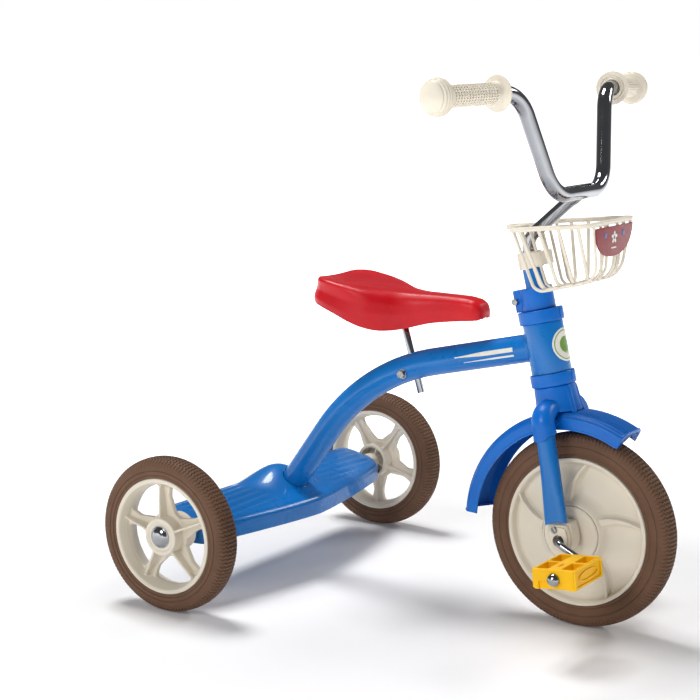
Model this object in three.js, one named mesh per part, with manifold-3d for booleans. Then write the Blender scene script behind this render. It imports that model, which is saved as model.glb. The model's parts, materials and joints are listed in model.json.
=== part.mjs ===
// Children's tricycle: steel backbone, moulded rear deck, three plastic wheels with rubber tyres,
// a steered fork with mudguard and basket, a chrome handlebar and a height-adjustable saddle.
// Units are millimetres. +X is forward, +Y is the rider's left and +Z is up. The floor is z = 0.

import * as THREE from 'three';
import { mergeVertices } from 'three/addons/utils/BufferGeometryUtils.js';
import Module from 'manifold-3d';

const wasm = await Module();
wasm.setup();

// ---- driving dimensions ----
const WHEELBASE = 462;
const HALF_TRACK = 250;
const WHEEL_SEGMENTS = 36;
const HEAD_ANGLE = THREE.MathUtils.degToRad(76.1);
const GAP = 0.3;
const RUNNING_GAP = 0.3;

const REAR = { radius: 101.6, halfWidth: 17.8, rimRadius: 75.5, spokes: 5 };
const FRONT = { radius: 125, halfWidth: 17.5, rimRadius: 94.3, blades: 5, bladeTurn: 30 };
const AXLE_RADIUS = 5;
const REAR_AXLE_HEIGHT = REAR.radius * Math.cos(Math.PI / WHEEL_SEGMENTS);
const FRONT_AXLE_HEIGHT = FRONT.radius * Math.cos(Math.PI / WHEEL_SEGMENTS);
const CENTRE_X = (WHEELBASE + FRONT.radius - REAR.radius) / 2;

const TUBE = { radius: 18, bore: 16.2, bendRadius: 450, lowAngle: 54.5, highAngle: 13.3 };
const TUBE_CORNER = new THREE.Vector3(137.4, 0, 289.4);

const HEAD = { radius: 25.5, bore: 22, low: 201.3, high: 264.5, collarRadius: 28.5 };
const LOWER_COLLAR = { low: 185, high: 201 };
const UPPER_COLLAR = { low: 264.8, high: 280.9 };
const STEERER = { radius: 12.3, bore: 8.6, low: 166.4, high: 333 };
const CLAMP = { radius: 20.7, low: 281.4, high: 309.4, earReach: 30, earHalf: 9 };

const FORK = { topHalf: 48.5, lowHalf: 58, socketLow: 123, elbowHeight: 157, elbowBend: 33, legLow: 22.3, legTop: 138 };
const BLOCK = { halfLength: 18, top: 22, low: -17, inner: 38, outer: 66, bore: 7.4 };
const CRANK = { radius: 44, angle: -25, rod: 4.2, armPlane: 73, pinEnd: 153 };
const PEDAL = { inner: 83, outer: 156, halfLength: 28.5, halfHeight: 12.4, wall: 4.2, tilt: -6 };
const GUARD = { radius: 151.5, shift: -6, halfWidth: 28.5, depth: 17, wall: 2.6, from: 62, to: 178 };

const BAR = { radius: 9.5, bendRadius: 44, bottom: [83.5, 66.9, 413.5], top: [89.2, 114.2, 538.7] };
const GRIP_KNOB = [61.7, 257.6, 542.2];
const GRIP = { start: 35, end: 160, bar: 120, flange: 21.5, body: 12.8, knob: 21.8 };
const STEM = { radius: 8, low: 232, corner: 369.4, bendRadius: 22 };

const BASKET = {
  rear: 15.5, front: 119.7, rearHalf: 71, frontHalf: 63, rimRear: 384.8, rimFront: 370.6,
  floorRear: 23, floorFront: 101, floorRearHalf: 46, floorFrontHalf: 32, floorLow: 304,
  rimBar: 2.9, bar: 2, loop: 13.5, collar: 15.6, collarLow: 333.4, collarHigh: 354,
};

const POST = { radius: 4.8, foot: [223.1, 270.7], head: [189, 379.6] };
const SEAT_BOLT = { x: 204, z: 296, radius: 3, head: 5.6, seat: 18.4, end: 23 };
const CLAMP_BOLT = { u: -27, radius: 2.4, head: 4.6, depth: 3.7 };
const BLOCK_SCREW = { u: -3, w: 14, radius: 1.8, head: 3.9, height: 2.3 };
const GUARD_SCREW = { radius: 2.3, head: 5, low: 146, seat: 149.4, high: 162 };

const DECK = { halfLength: 212, low: 81, rear: -54, wall: 2.8, crown: 120.5, dome: 21 };
const DECK_FRONT = { middle: 63, end: 24 };
const DOME = { x: -8, halfX: 62, halfY: 66 };
const SLEEVE = { radius: 8.6, bore: 5.4 };
const HUB = { radius: 24.5, bore: 7.5, outer: 20, inner: -24 };

// ---- materials ----
const finish = (color, roughness, metalness) =>
  new THREE.MeshStandardMaterial({ color, roughness, metalness });
const framePaint = finish(0x1f6fb8, 0.25, 0.1);
const bluePlastic = finish(0x0a5fc0, 0.35, 0);
const creamPlastic = finish(0xe2dccf, 0.45, 0);
const tyreRubber = finish(0x6b4c3b, 0.85, 0);
const chrome = finish(0xc8c8c8, 0.1, 1);
const zincSteel = finish(0x9a9a9a, 0.35, 1);
const redPlastic = finish(0xc8142c, 0.5, 0);
const yellowPlastic = finish(0xf5bf00, 0.4, 0);
const labelRed = finish(0x8f2430, 0.5, 0);

// ---- solid helpers ----
function signedVolume(positions, index) {
  let sum = 0;
  const a = new THREE.Vector3();
  const b = new THREE.Vector3();
  const c = new THREE.Vector3();
  for (let i = 0; i < index.length; i += 3) {
    a.fromArray(positions, index[i] * 3);
    b.fromArray(positions, index[i + 1] * 3);
    c.fromArray(positions, index[i + 2] * 3);
    sum += a.dot(b.cross(c));
  }
  return sum / 6;
}

// Shares the vertices, drops collapsed triangles and turns the faces outward.
function solid(geometry) {
  const bare = geometry.clone();
  for (const name of Object.keys(bare.attributes)) {
    if (name !== 'position') bare.deleteAttribute(name);
  }
  const merged = mergeVertices(bare, 1e-4);
  const source = merged.index.array;
  const kept = [];
  for (let i = 0; i < source.length; i += 3) {
    const [a, b, c] = [source[i], source[i + 1], source[i + 2]];
    if (a !== b && b !== c && c !== a) kept.push(a, b, c);
  }
  if (signedVolume(merged.attributes.position.array, kept) < 0) kept.reverse();
  const result = new THREE.BufferGeometry();
  result.setAttribute('position', merged.attributes.position.clone());
  result.setIndex(kept);
  return result;
}

function toManifold(geometry) {
  const clean = solid(geometry);
  const vertProperties = new Float32Array(clean.attributes.position.array);
  const triVerts = new Uint32Array(clean.index.array);
  return new wasm.Manifold(new wasm.Mesh({ numProp: 3, vertProperties, triVerts }));
}

function fromManifold(manifold) {
  const mesh = manifold.getMesh();
  const result = new THREE.BufferGeometry();
  result.setAttribute('position', new THREE.BufferAttribute(new Float32Array(mesh.vertProperties), 3));
  result.setIndex(Array.from(mesh.triVerts));
  return result;
}

const join = (...parts) => fromManifold(parts.map(toManifold).reduce((sum, part) => sum.add(part)));
const cut = (body, ...tools) =>
  fromManifold(tools.map(toManifold).reduce((rest, tool) => rest.subtract(tool), toManifold(body)));

// A closed profile of [radius, height] pairs turned about the axis.
function lathe(profile, segments, axis = 'y', closed = true) {
  const points = profile.map(([radius, height]) => new THREE.Vector2(radius, height));
  if (closed) points.push(points[0].clone());
  const geometry = new THREE.LatheGeometry(points, segments, Math.PI / segments);
  if (axis === 'z') geometry.rotateX(Math.PI / 2);
  return solid(geometry);
}

function rod(radius, from, to, sides = 16) {
  const start = new THREE.Vector3(...from);
  const span = new THREE.Vector3(...to).sub(start);
  const geometry = new THREE.CylinderGeometry(radius, radius, span.length(), sides);
  geometry.translate(0, span.length() / 2, 0);
  const turn = new THREE.Quaternion().setFromUnitVectors(new THREE.Vector3(0, 1, 0), span.normalize());
  geometry.applyQuaternion(turn);
  geometry.translate(start.x, start.y, start.z);
  return solid(geometry);
}

function nut(boltRadius, radius, from, to) {
  const hole = rod(boltRadius + GAP, [from[0], from[1] - 5, from[2]], [to[0], to[1] + 5, to[2]], 12);
  return cut(rod(radius, from, to, 6), hole);
}

function box(size, centre) {
  const geometry = new THREE.BoxGeometry(...size);
  geometry.translate(...centre);
  return solid(geometry);
}

// Stations along a polyline whose corners are rounded to the bend radius: a point and a direction each.
function bend(points, bendRadius, steps, closed = false) {
  const count = points.length;
  const stations = [];
  for (let i = 0; i < count; i += 1) {
    const before = points[(i + count - 1) % count];
    const after = points[(i + 1) % count];
    const isEnd = !closed && (i === 0 || i === count - 1);
    if (isEnd) {
      const along = i === 0 ? after.clone().sub(points[i]) : points[i].clone().sub(before);
      stations.push({ at: points[i].clone(), along: along.normalize() });
      continue;
    }
    const back = before.clone().sub(points[i]).normalize();
    const ahead = after.clone().sub(points[i]).normalize();
    const half = back.angleTo(ahead) / 2;
    const enter = back.clone().multiplyScalar(bendRadius / Math.tan(half)).add(points[i]);
    const centre = back.clone().add(ahead).normalize().multiplyScalar(bendRadius / Math.sin(half)).add(points[i]);
    const axis = ahead.clone().cross(back).normalize();
    for (let k = 0; k <= steps; k += 1) {
      const turn = ((Math.PI - 2 * half) * k) / steps;
      const at = enter.clone().sub(centre).applyAxisAngle(axis, turn).add(centre);
      const along = back.clone().negate().applyAxisAngle(axis, turn);
      stations.push({ at, along });
    }
  }
  return stations;
}

// A round bar swept along the stations without twisting.
function bar(stations, radius, sides, closed = false) {
  const first = stations[0].along;
  const guide = Math.abs(first.y) > 0.8 ? new THREE.Vector3(0, 0, 1) : new THREE.Vector3(0, 1, 0);
  const side = guide.projectOnPlane(first).normalize();
  const rings = [];
  let last = first;
  for (const { at, along } of stations) {
    side.applyQuaternion(new THREE.Quaternion().setFromUnitVectors(last, along));
    last = along;
    const ring = [];
    for (let i = 0; i < sides; i += 1) {
      const turn = ((i + 0.5) * 2 * Math.PI) / sides;
      ring.push(side.clone().applyAxisAngle(along, turn).multiplyScalar(radius).add(at));
    }
    rings.push(ring);
  }
  return loft(rings, closed);
}

// Skins a row of rings, each with the same number of points. Open rows get a flat cap at each end.
function loft(rings, closed = false) {
  const count = rings[0].length;
  const positions = rings.flat().flatMap((point) => point.toArray());
  const index = [];
  for (let i = 0; i < (closed ? rings.length : rings.length - 1); i += 1) {
    const next = ((i + 1) % rings.length) * count;
    for (let j = 0; j < count; j += 1) {
      const k = (j + 1) % count;
      index.push(i * count + j, i * count + k, next + k, i * count + j, next + k, next + j);
    }
  }
  const ends = closed ? [] : [[0, false], [rings.length - 1, true]];
  for (const [ring, flip] of ends) {
    const flat = flatten(rings[ring]);
    for (const [a, b, c] of THREE.ShapeUtils.triangulateShape(flat, [])) {
      const corners = [a, b, c].map((corner) => corner + ring * count);
      index.push(...(flip ? corners : corners.reverse()));
    }
  }
  const geometry = new THREE.BufferGeometry();
  geometry.setAttribute('position', new THREE.Float32BufferAttribute(positions, 3));
  geometry.setIndex(index);
  return solid(geometry);
}

// Lays a planar ring out in two dimensions, keeping its winding about the ring's own normal.
function flatten(ring) {
  const normal = new THREE.Vector3();
  for (let i = 0; i < ring.length; i += 1) {
    normal.add(ring[i].clone().cross(ring[(i + 1) % ring.length]));
  }
  normal.normalize();
  const across = ring[1].clone().sub(ring[0]).projectOnPlane(normal).normalize();
  const up = normal.clone().cross(across);
  return ring.map((point) => new THREE.Vector2(point.dot(across), point.dot(up)));
}

const lerp = THREE.MathUtils.lerp;
const smooth = (value) => THREE.MathUtils.smoothstep(value, 0, 1);

// Linear look-up in a short list of [position, value, value...] rows.
function between(rows, position) {
  let i = 0;
  while (i < rows.length - 2 && rows[i + 1][0] < position) i += 1;
  const share = THREE.MathUtils.clamp((position - rows[i][0]) / (rows[i + 1][0] - rows[i][0]), 0, 1);
  return rows[i].slice(1).map((value, k) => lerp(value, rows[i + 1][k + 1], share));
}

const trike = new THREE.Group();
trike.position.x = -CENTRE_X;
const steering = new THREE.Group();
steering.position.set(WHEELBASE, 0, FRONT_AXLE_HEIGHT);
steering.rotation.y = HEAD_ANGLE - Math.PI / 2;
trike.add(steering);
const frontWheel = new THREE.Group();
frontWheel.rotation.y = -steering.rotation.y;
steering.add(frontWheel);

function place(parent, name, geometry, material) {
  const mesh = new THREE.Mesh(solid(geometry), material);
  mesh.name = name;
  parent.add(mesh);
}

const SIDES = [['right', -1], ['left', 1]];

// ---- frame: backbone, head tube and headset ----
function tubeDirection(degrees) {
  const angle = THREE.MathUtils.degToRad(degrees);
  return new THREE.Vector3(Math.cos(angle), 0, Math.sin(angle));
}

function lowTubePoint(distance) {
  return tubeDirection(TUBE.lowAngle).multiplyScalar(distance).add(new THREE.Vector3(3.5, 0, REAR_AXLE_HEIGHT));
}

function backbone(radius, extra, sides) {
  const head = tubeDirection(TUBE.highAngle).multiplyScalar(252 + extra).add(TUBE_CORNER);
  return bar(bend([lowTubePoint(8 - extra), TUBE_CORNER, head], TUBE.bendRadius, 8), radius, sides);
}

// The head tube's own frame, for cutting parts that meet it.
function steeringToFrame(geometry) {
  const moved = geometry.clone();
  steering.updateMatrix();
  moved.applyMatrix4(steering.matrix);
  return moved;
}

function seatBoltRod(radius, from, to, sides) {
  return rod(radius, [SEAT_BOLT.x, from, SEAT_BOLT.z], [SEAT_BOLT.x, to, SEAT_BOLT.z], sides);
}

function buildBackbone() {
  const raw = cut(backbone(TUBE.radius, 0, 18), backbone(TUBE.bore, 5, 12));
  const headSpace = steeringToFrame(rod(HEAD.radius + GAP, [0, 0, 190], [0, 0, 290], 24));
  const beyond = steeringToFrame(box([60, 80, 120], [30, 0, 235]));
  const [footX, footZ] = POST.foot;
  const [headX, headZ] = POST.head;
  const postHole = rod(POST.radius + RUNNING_GAP, [footX, 0, footZ], [headX, 0, headZ], 16);
  const bolt = seatBoltRod(SEAT_BOLT.radius + GAP, -30, 30, 10);
  return cut(raw, headSpace, beyond, postHole, bolt);
}

function collar(low, high, spigotLow, spigotHigh) {
  const bore = STEERER.radius + RUNNING_GAP;
  const flange = lathe([[bore, low], [HEAD.collarRadius, low], [HEAD.collarRadius, high], [bore, high]], 24, 'z');
  const radius = HEAD.bore - GAP;
  const spigot = lathe([[bore, spigotLow], [radius, spigotLow], [radius, spigotHigh], [bore, spigotHigh]], 24, 'z');
  return join(flange, spigot);
}

function buildFrame() {
  place(trike, 'backbone_tube', buildBackbone(), framePaint);
  const { radius, bore, low, high } = HEAD;
  const headTube = steeringToFrame(lathe([[bore, low], [radius, low], [radius, high], [bore, high]], 24, 'z'));
  place(trike, 'head_tube', headTube, framePaint);
  const lower = collar(LOWER_COLLAR.low, LOWER_COLLAR.high, 200, 209);
  const upper = collar(UPPER_COLLAR.low, UPPER_COLLAR.high, 256.5, 266);
  place(trike, 'headset_collar_lower', steeringToFrame(lower), bluePlastic);
  place(trike, 'headset_collar_upper', steeringToFrame(upper), bluePlastic);
  const { x, z, radius: shankRadius, head: headRadius, seat, end } = SEAT_BOLT;
  const shank = seatBoltRod(shankRadius, -end, seat + 2, 10);
  place(trike, 'seat_bolt', join(shank, seatBoltRod(headRadius, -end, -seat, 6)), zincSteel);
  place(trike, 'seat_bolt_nut', nut(shankRadius, headRadius, [x, seat, z], [x, end, z]), zincSteel);
}

// ---- rear deck over the axle ----
function deckFront(y) {
  const share = Math.min(1, Math.abs(y) / DECK.halfLength);
  return lerp(DECK_FRONT.middle, DECK_FRONT.end, Math.pow(share, 1.35));
}

function deckTop(x, y) {
  const along = (x - DECK.rear) / (deckFront(y) - DECK.rear);
  const fall = 15 * Math.pow(Math.max(0, along - 0.25) / 0.75, 1.6) + 5 * Math.pow(Math.max(0, 0.25 - along) / 0.25, 2);
  const near = smooth(1 - Math.hypot((x - DOME.x) / DOME.halfX, y / DOME.halfY));
  return DECK.crown - fall + DECK.dome * near;
}

function deckRings(inset, lowEdge, halfLength, columns) {
  const rings = [];
  const half = [0.06, 0.12, 0.18, 0.24, 0.31, 0.5, 0.75, 0.94, 1];
  const stations = [...half.map((share) => -share).reverse(), 0, ...half];
  for (const station of stations) {
    const y = station * halfLength;
    const corner = 10 * Math.pow(Math.max(0, Math.abs(station) - 0.9) / 0.1, 2);
    const front = deckFront(y) - inset - corner;
    const rear = DECK.rear + inset + corner;
    const ring = [new THREE.Vector3(front, y, lowEdge), new THREE.Vector3(rear, y, lowEdge)];
    for (let i = 0; i <= columns; i += 1) {
      const x = lerp(rear, front, i / columns);
      ring.push(new THREE.Vector3(x, y, deckTop(x, y) - inset * 1.15 - corner * 0.25));
    }
    rings.push(ring);
  }
  return rings;
}

function buildDeck() {
  const outer = loft(deckRings(0, DECK.low, DECK.halfLength, 9));
  const inner = loft(deckRings(DECK.wall, DECK.low - 6, DECK.halfLength - DECK.wall, 5));
  const axleHole = rod(9.5, [0, -230, REAR_AXLE_HEIGHT], [0, 230, REAR_AXLE_HEIGHT], 16);
  const tubeHole = rod(TUBE.radius + 0.6, lowTubePoint(2).toArray(), lowTubePoint(90).toArray(), 20);
  place(trike, 'rear_deck', cut(outer, inner, axleHole, tubeHole), framePaint);

  const height = REAR_AXLE_HEIGHT;
  const sleeveEnd = DECK.halfLength - DECK.wall - 1;
  const { radius, bore } = SLEEVE;
  const sleeve = lathe([[bore, -sleeveEnd], [radius, -sleeveEnd], [radius, sleeveEnd], [bore, sleeveEnd]], 16);
  sleeve.translate(0, 0, height);
  place(trike, 'axle_sleeve', sleeve, zincSteel);
  const axleEnd = HALF_TRACK + 21;
  place(trike, 'rear_axle', rod(AXLE_RADIUS, [0, -axleEnd, height], [0, axleEnd, height], 16), zincSteel);
  for (const [side, sign] of SIDES) {
    const from = DECK.halfLength - DECK.wall - 0.6;
    const to = HALF_TRACK - 24 - RUNNING_GAP;
    const lip = DECK.halfLength + GAP;
    const profile = [[bore, from], [9.1, from], [9.1, lip], [12, lip], [12, to], [bore, to]];
    const spacer = lathe(profile, 16);
    if (sign < 0) spacer.rotateX(Math.PI);
    spacer.translate(0, 0, height);
    place(trike, `axle_spacer_${side}`, spacer, creamPlastic);
  }
}

// ---- wheels ----
function tyre({ radius, halfWidth, rimRadius }) {
  const seat = rimRadius + GAP;
  const groove = rimRadius + 4;
  const profile = [
    [seat, -halfWidth + 0.6], [radius - 13, -halfWidth], [radius - 4.5, -halfWidth + 1.4], [radius, -halfWidth + 8],
    [radius, halfWidth - 8], [radius - 4.5, halfWidth - 1.4], [radius - 13, halfWidth], [seat, halfWidth - 0.6],
    [seat, 8 + GAP], [groove + GAP, 8 + GAP], [groove + GAP, -8 - GAP], [seat, -8 - GAP],
  ];
  return lathe(profile, WHEEL_SEGMENTS);
}

// Points on an arc in a flat plate.
function arc(radius, from, to, count) {
  return Array.from({ length: count + 1 }, (_, i) => {
    const turn = lerp(from, to, i / count);
    return new THREE.Vector2(Math.cos(turn) * radius, Math.sin(turn) * radius);
  });
}

// Five spokes left between windows in a flat web, with the first window's middle at the given angle.
function spokeWeb(firstWindow) {
  const outline = new THREE.Shape(arc(70, 0, 2 * Math.PI, 20).slice(0, -1));
  outline.holes.push(new THREE.Path(arc(15, 0, 2 * Math.PI, 10).slice(0, -1)));
  for (let i = 0; i < REAR.spokes; i += 1) {
    const turn = THREE.MathUtils.degToRad(firstWindow) + (i * 2 * Math.PI) / REAR.spokes;
    const window = [...arc(65, turn - 0.49, turn + 0.49, 5), ...arc(27, turn + 0.3, turn - 0.3, 2)];
    outline.holes.push(new THREE.Path(window));
  }
  const geometry = new THREE.ExtrudeGeometry(outline, { depth: 13, bevelEnabled: false });
  geometry.translate(0, 0, -6.5);
  geometry.rotateX(-Math.PI / 2);
  return geometry;
}

function rearWheel(sign, firstWindow) {
  const rim = lathe([
    [75.5, -17.5], [75.5, -8], [79.5, -8], [79.5, 8], [75.5, 8], [75.5, 18.5],
    [70.5, 18.5], [66, 5], [66, -5], [70.5, -17.5],
  ], WHEEL_SEGMENTS);
  const hub = lathe([
    [HUB.bore, HUB.inner], [11, HUB.inner], [11, -4], [20, -4], [20, HUB.inner], [HUB.radius, HUB.inner],
    [HUB.radius, HUB.outer], [HUB.bore, HUB.outer],
  ], 20);
  const wheel = join(rim, spokeWeb(firstWindow), hub);
  if (sign < 0) wheel.rotateX(Math.PI);
  return wheel;
}

function buildRearWheels() {
  for (const [side, sign] of SIDES) {
    const wheel = new THREE.Group();
    wheel.position.set(0, sign * HALF_TRACK, REAR_AXLE_HEIGHT);
    trike.add(wheel);
    place(wheel, `rear_tyre_${side}`, tyre(REAR), tyreRubber);
    place(wheel, `rear_wheel_${side}`, rearWheel(sign, sign < 0 ? 60 : 54), creamPlastic);
    const bore = AXLE_RADIUS + RUNNING_GAP;
    const radius = HUB.bore - GAP;
    const inner = HUB.inner + 0.4;
    const bush = lathe([[bore, inner], [radius, inner], [radius, HUB.outer], [bore, HUB.outer]], 16);
    if (sign < 0) bush.rotateX(Math.PI);
    place(wheel, `rear_bush_${side}`, bush, zincSteel);
    const capInner = HUB.outer + GAP;
    const cap = lathe([
      [0, 25.5], [6, 25.2], [10.5, 24], [13.5, 22.4], [14.5, capInner], [12.6, capInner], [5.4, 21.8], [0, 21.8],
    ], 20, 'y', false);
    if (sign < 0) cap.rotateX(Math.PI);
    place(wheel, `rear_hub_cap_${side}`, cap, chrome);
  }
}

// One curved blade between the hub and the rim, standing on the outer face of the front wheel.
function blade(turn) {
  const shape = new THREE.Shape();
  shape.moveTo(33, -3);
  shape.quadraticCurveTo(62, -8, 88, -30);
  shape.lineTo(90, -26);
  shape.quadraticCurveTo(64, -3, 33, 5);
  shape.closePath();
  const geometry = new THREE.ExtrudeGeometry(shape, { depth: 12, curveSegments: 3, bevelEnabled: false });
  geometry.translate(0, 0, 6.5);
  geometry.rotateX(-Math.PI / 2);
  geometry.rotateY(turn);
  return geometry;
}

function frontHalf(sign) {
  const shell = lathe([
    [7, 0.2], [7, 31], [35, 31], [41, 17], [84, 9.5], [88, 20], [94.3, 20], [94.3, 8], [98.3, 8], [98.3, 0.2],
    [93, 0.2], [84, 6], [45, 12], [40, 0.2],
  ], WHEEL_SEGMENTS);
  const first = THREE.MathUtils.degToRad(FRONT.bladeTurn);
  const blades = Array.from({ length: FRONT.blades }, (_, i) => blade(first + (i * 2 * Math.PI) / FRONT.blades));
  const half = join(shell, ...blades);
  if (sign < 0) half.rotateX(Math.PI);
  return half;
}

function crankPoint(distance, y) {
  const angle = THREE.MathUtils.degToRad(CRANK.angle);
  return new THREE.Vector3(Math.cos(angle) * distance, y, Math.sin(angle) * distance);
}

function buildFrontWheel() {
  place(frontWheel, 'front_tyre', tyre(FRONT), tyreRubber);
  const bore = CRANK.rod + 0.4;
  for (const [side, sign] of SIDES) {
    place(frontWheel, `front_wheel_half_${side}`, frontHalf(sign), creamPlastic);
    const cover = lathe([[bore, 31.3], [35.5, 31.3], [35.5, 33], [32, 35], [bore, 35.6]], 28);
    if (sign < 0) cover.rotateX(Math.PI);
    place(frontWheel, `front_hub_cover_${side}`, cover, creamPlastic);
  }
  const { radius, armPlane, pinEnd } = CRANK;
  const points = [
    crankPoint(radius, -pinEnd), crankPoint(radius, -armPlane), crankPoint(0, -armPlane),
    crankPoint(0, armPlane), crankPoint(-radius, armPlane), crankPoint(-radius, pinEnd),
  ];
  place(frontWheel, 'crank_axle', bar(bend(points, 10, 4), CRANK.rod, 10), chrome);
}

function pedalBody(sign) {
  const { inner, outer, halfLength, halfHeight, wall } = PEDAL;
  const middle = (inner + outer) / 2;
  const hub = CRANK.rod + wall;
  const length = halfLength - wall - hub;
  const width = (outer - inner - 3 * wall) / 2;
  const windows = [];
  for (const end of [-1, 1]) {
    for (const row of [-1, 1]) {
      const centre = [end * (hub + length / 2), sign * (middle + (row * (width + wall)) / 2), 0];
      windows.push(box([length, width, 4 * halfHeight], centre));
    }
  }
  const bore = rod(CRANK.rod + 0.4, [0, sign * (inner - 5), 0], [0, sign * (CRANK.pinEnd + 0.6), 0], 12);
  return cut(box([2 * halfLength, outer - inner, 2 * halfHeight], [0, sign * middle, 0]), ...windows, bore);
}

function buildPedals() {
  for (const [side, sign] of SIDES) {
    const centre = crankPoint(-sign * CRANK.radius, 0);
    const pedal = new THREE.Group();
    pedal.position.copy(centre);
    pedal.rotation.y = THREE.MathUtils.degToRad(PEDAL.tilt);
    frontWheel.add(pedal);
    place(pedal, `pedal_${side}`, pedalBody(sign), yellowPlastic);
    const face = PEDAL.outer + GAP;
    const cap = lathe([
      [0, face + 7], [3.6, face + 6.4], [6.6, face + 4.4], [8.2, face + 1.2], [8.2, face], [0, face],
    ], 16, 'y', false);
    if (sign < 0) cap.rotateX(Math.PI);
    place(pedal, `pedal_cap_${side}`, cap, chrome);
  }
}

// ---- fork, crown and bearing blocks ----
function ovalRing([w, u, v, halfU, halfV], count = 14) {
  return Array.from({ length: count }, (_, i) => {
    const turn = (i * 2 * Math.PI) / count;
    return new THREE.Vector3(u + Math.cos(turn) * halfU, v + Math.sin(turn) * halfV, w);
  });
}

function legCentre(w) {
  return lerp(FORK.lowHalf, FORK.topHalf, (w - FORK.legLow) / (FORK.socketLow - FORK.legLow));
}

function blockScrewRod(radius, from, to, sides) {
  const { u, w } = BLOCK_SCREW;
  return rod(radius, [u, from, w], [u, to, w], sides);
}

function forkLeg(sign) {
  const stations = [
    [FORK.legLow, -3, 15, 5.5], [40, -2, 14.4, 6.5], [62, -1, 13.4, 7.8], [90, 0, 12.2, 9], [FORK.legTop, 0, 11.4, 9.6],
  ];
  const rings = stations.map(([w, u, halfU, halfV]) => ovalRing([w, u, sign * legCentre(w), halfU, halfV]));
  const tongue = box([19, 3.6, 18], [BLOCK_SCREW.u, sign * FORK.lowHalf, 17.4]);
  const screwHole = blockScrewRod(BLOCK_SCREW.radius + 0.4, sign * 40, sign * 70, 10);
  return cut(join(loft(rings), tongue), screwHole);
}

// A socket that leaves the neck sideways and turns down over the top of a leg.
function crownElbow(sign) {
  const { topHalf, socketLow, elbowHeight, elbowBend } = FORK;
  const points = [[0, elbowHeight], [sign * topHalf, elbowHeight], [sign * topHalf, socketLow]];
  const stations = bend(points.map(([v, w]) => new THREE.Vector3(0, v, w)), elbowBend, 6);
  const across = new THREE.Vector3(1, 0, 0);
  return loft(stations.map(({ at, along }, i) => {
    const share = i / (stations.length - 1);
    const out = along.clone().cross(across);
    return Array.from({ length: 16 }, (_, k) => {
      const turn = (k * 2 * Math.PI) / 16;
      const ring = at.clone().addScaledVector(across, Math.cos(turn) * lerp(13.2, 15, share));
      return ring.addScaledVector(out, Math.sin(turn) * lerp(12.4, 12.9, share));
    });
  }));
}

function crown() {
  const neck = lathe([[0, 140], [31, 140], [29, 153], [27.2, 168], [26.6, 184.7], [0, 184.7]], 28, 'z', false);
  const lean = Math.PI / 2 - HEAD_ANGLE;
  const [u, w] = [GUARD.shift * Math.cos(lean), -GUARD.shift * Math.sin(lean)];
  const reach = GUARD.halfWidth + 1;
  const guardSpace = rod(GUARD.radius + 0.5, [u, -reach, w], [u, reach, w], 72);
  const low = FORK.socketLow - 8;
  const high = FORK.legTop + 0.4;
  const legSpace = (sign) =>
    loft([low, high].map((height) => ovalRing([height, 0, sign * legCentre(height), 12, 10.1])));
  const steererSpace = rod(STEERER.radius + GAP, [0, 0, STEERER.low - 0.4], [0, 0, 200], 24);
  const screwHole = rod(GUARD_SCREW.radius + GAP, [0, 0, 135], [0, 0, GUARD_SCREW.high + 1], 10);
  const body = join(neck, crownElbow(-1), crownElbow(1));
  return cut(body, guardSpace, legSpace(-1), legSpace(1), steererSpace, screwHole);
}

function bearingBlock(sign) {
  const { halfLength, top, low, inner, outer, bore } = BLOCK;
  const shape = new THREE.Shape();
  shape.moveTo(-halfLength + 3, top - 3);
  shape.quadraticCurveTo(0, top + 3, halfLength - 3, top - 3);
  shape.quadraticCurveTo(halfLength + 1, 0, halfLength - 7, low + 4);
  shape.quadraticCurveTo(0, low - 3, -halfLength + 7, low + 4);
  shape.quadraticCurveTo(-halfLength - 1, 0, -halfLength + 3, top - 3);
  const geometry = new THREE.ExtrudeGeometry(shape, { depth: outer - inner, curveSegments: 5, bevelEnabled: false });
  geometry.translate(0, 0, inner);
  geometry.rotateX(-Math.PI / 2);
  geometry.scale(1, sign, -1);
  const slot = box([19.6, 4.2, 40], [BLOCK_SCREW.u, sign * FORK.lowHalf, 28.1]);
  const hole = rod(bore, [0, sign * (inner - 5), 0], [0, sign * (outer + 5), 0], 20);
  const screwHole = blockScrewRod(BLOCK_SCREW.radius + 0.4, sign * 46, sign * (outer + 5), 10);
  return cut(geometry, slot, hole, screwHole);
}

function buildFork() {
  const { radius, bore, low, high } = STEERER;
  const steerer = lathe([[bore, low], [radius, low], [radius, high], [bore, high]], 24, 'z');
  place(steering, 'steerer_tube', steerer, framePaint);
  place(steering, 'fork_crown', crown(), bluePlastic);
  for (const [side, sign] of SIDES) {
    place(steering, `fork_leg_${side}`, forkLeg(sign), framePaint);
    place(steering, `bearing_block_${side}`, bearingBlock(sign), creamPlastic);
    const bush = lathe([
      [CRANK.rod + RUNNING_GAP, BLOCK.inner + 1], [BLOCK.bore - GAP, BLOCK.inner + 1], [BLOCK.bore - GAP, BLOCK.outer - 6],
      [CRANK.rod + RUNNING_GAP, BLOCK.outer - 6],
    ], 16);
    if (sign < 0) bush.rotateX(Math.PI);
    place(steering, `crank_bush_${side}`, bush, zincSteel);
    const seat = BLOCK.outer + GAP;
    const shank = blockScrewRod(BLOCK_SCREW.radius, sign * 50, sign * (seat + 1.7), 10);
    const head = blockScrewRod(BLOCK_SCREW.head, sign * seat, sign * (seat + BLOCK_SCREW.height), 14);
    place(steering, `block_screw_${side}`, join(shank, head), zincSteel);
  }
}

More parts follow.
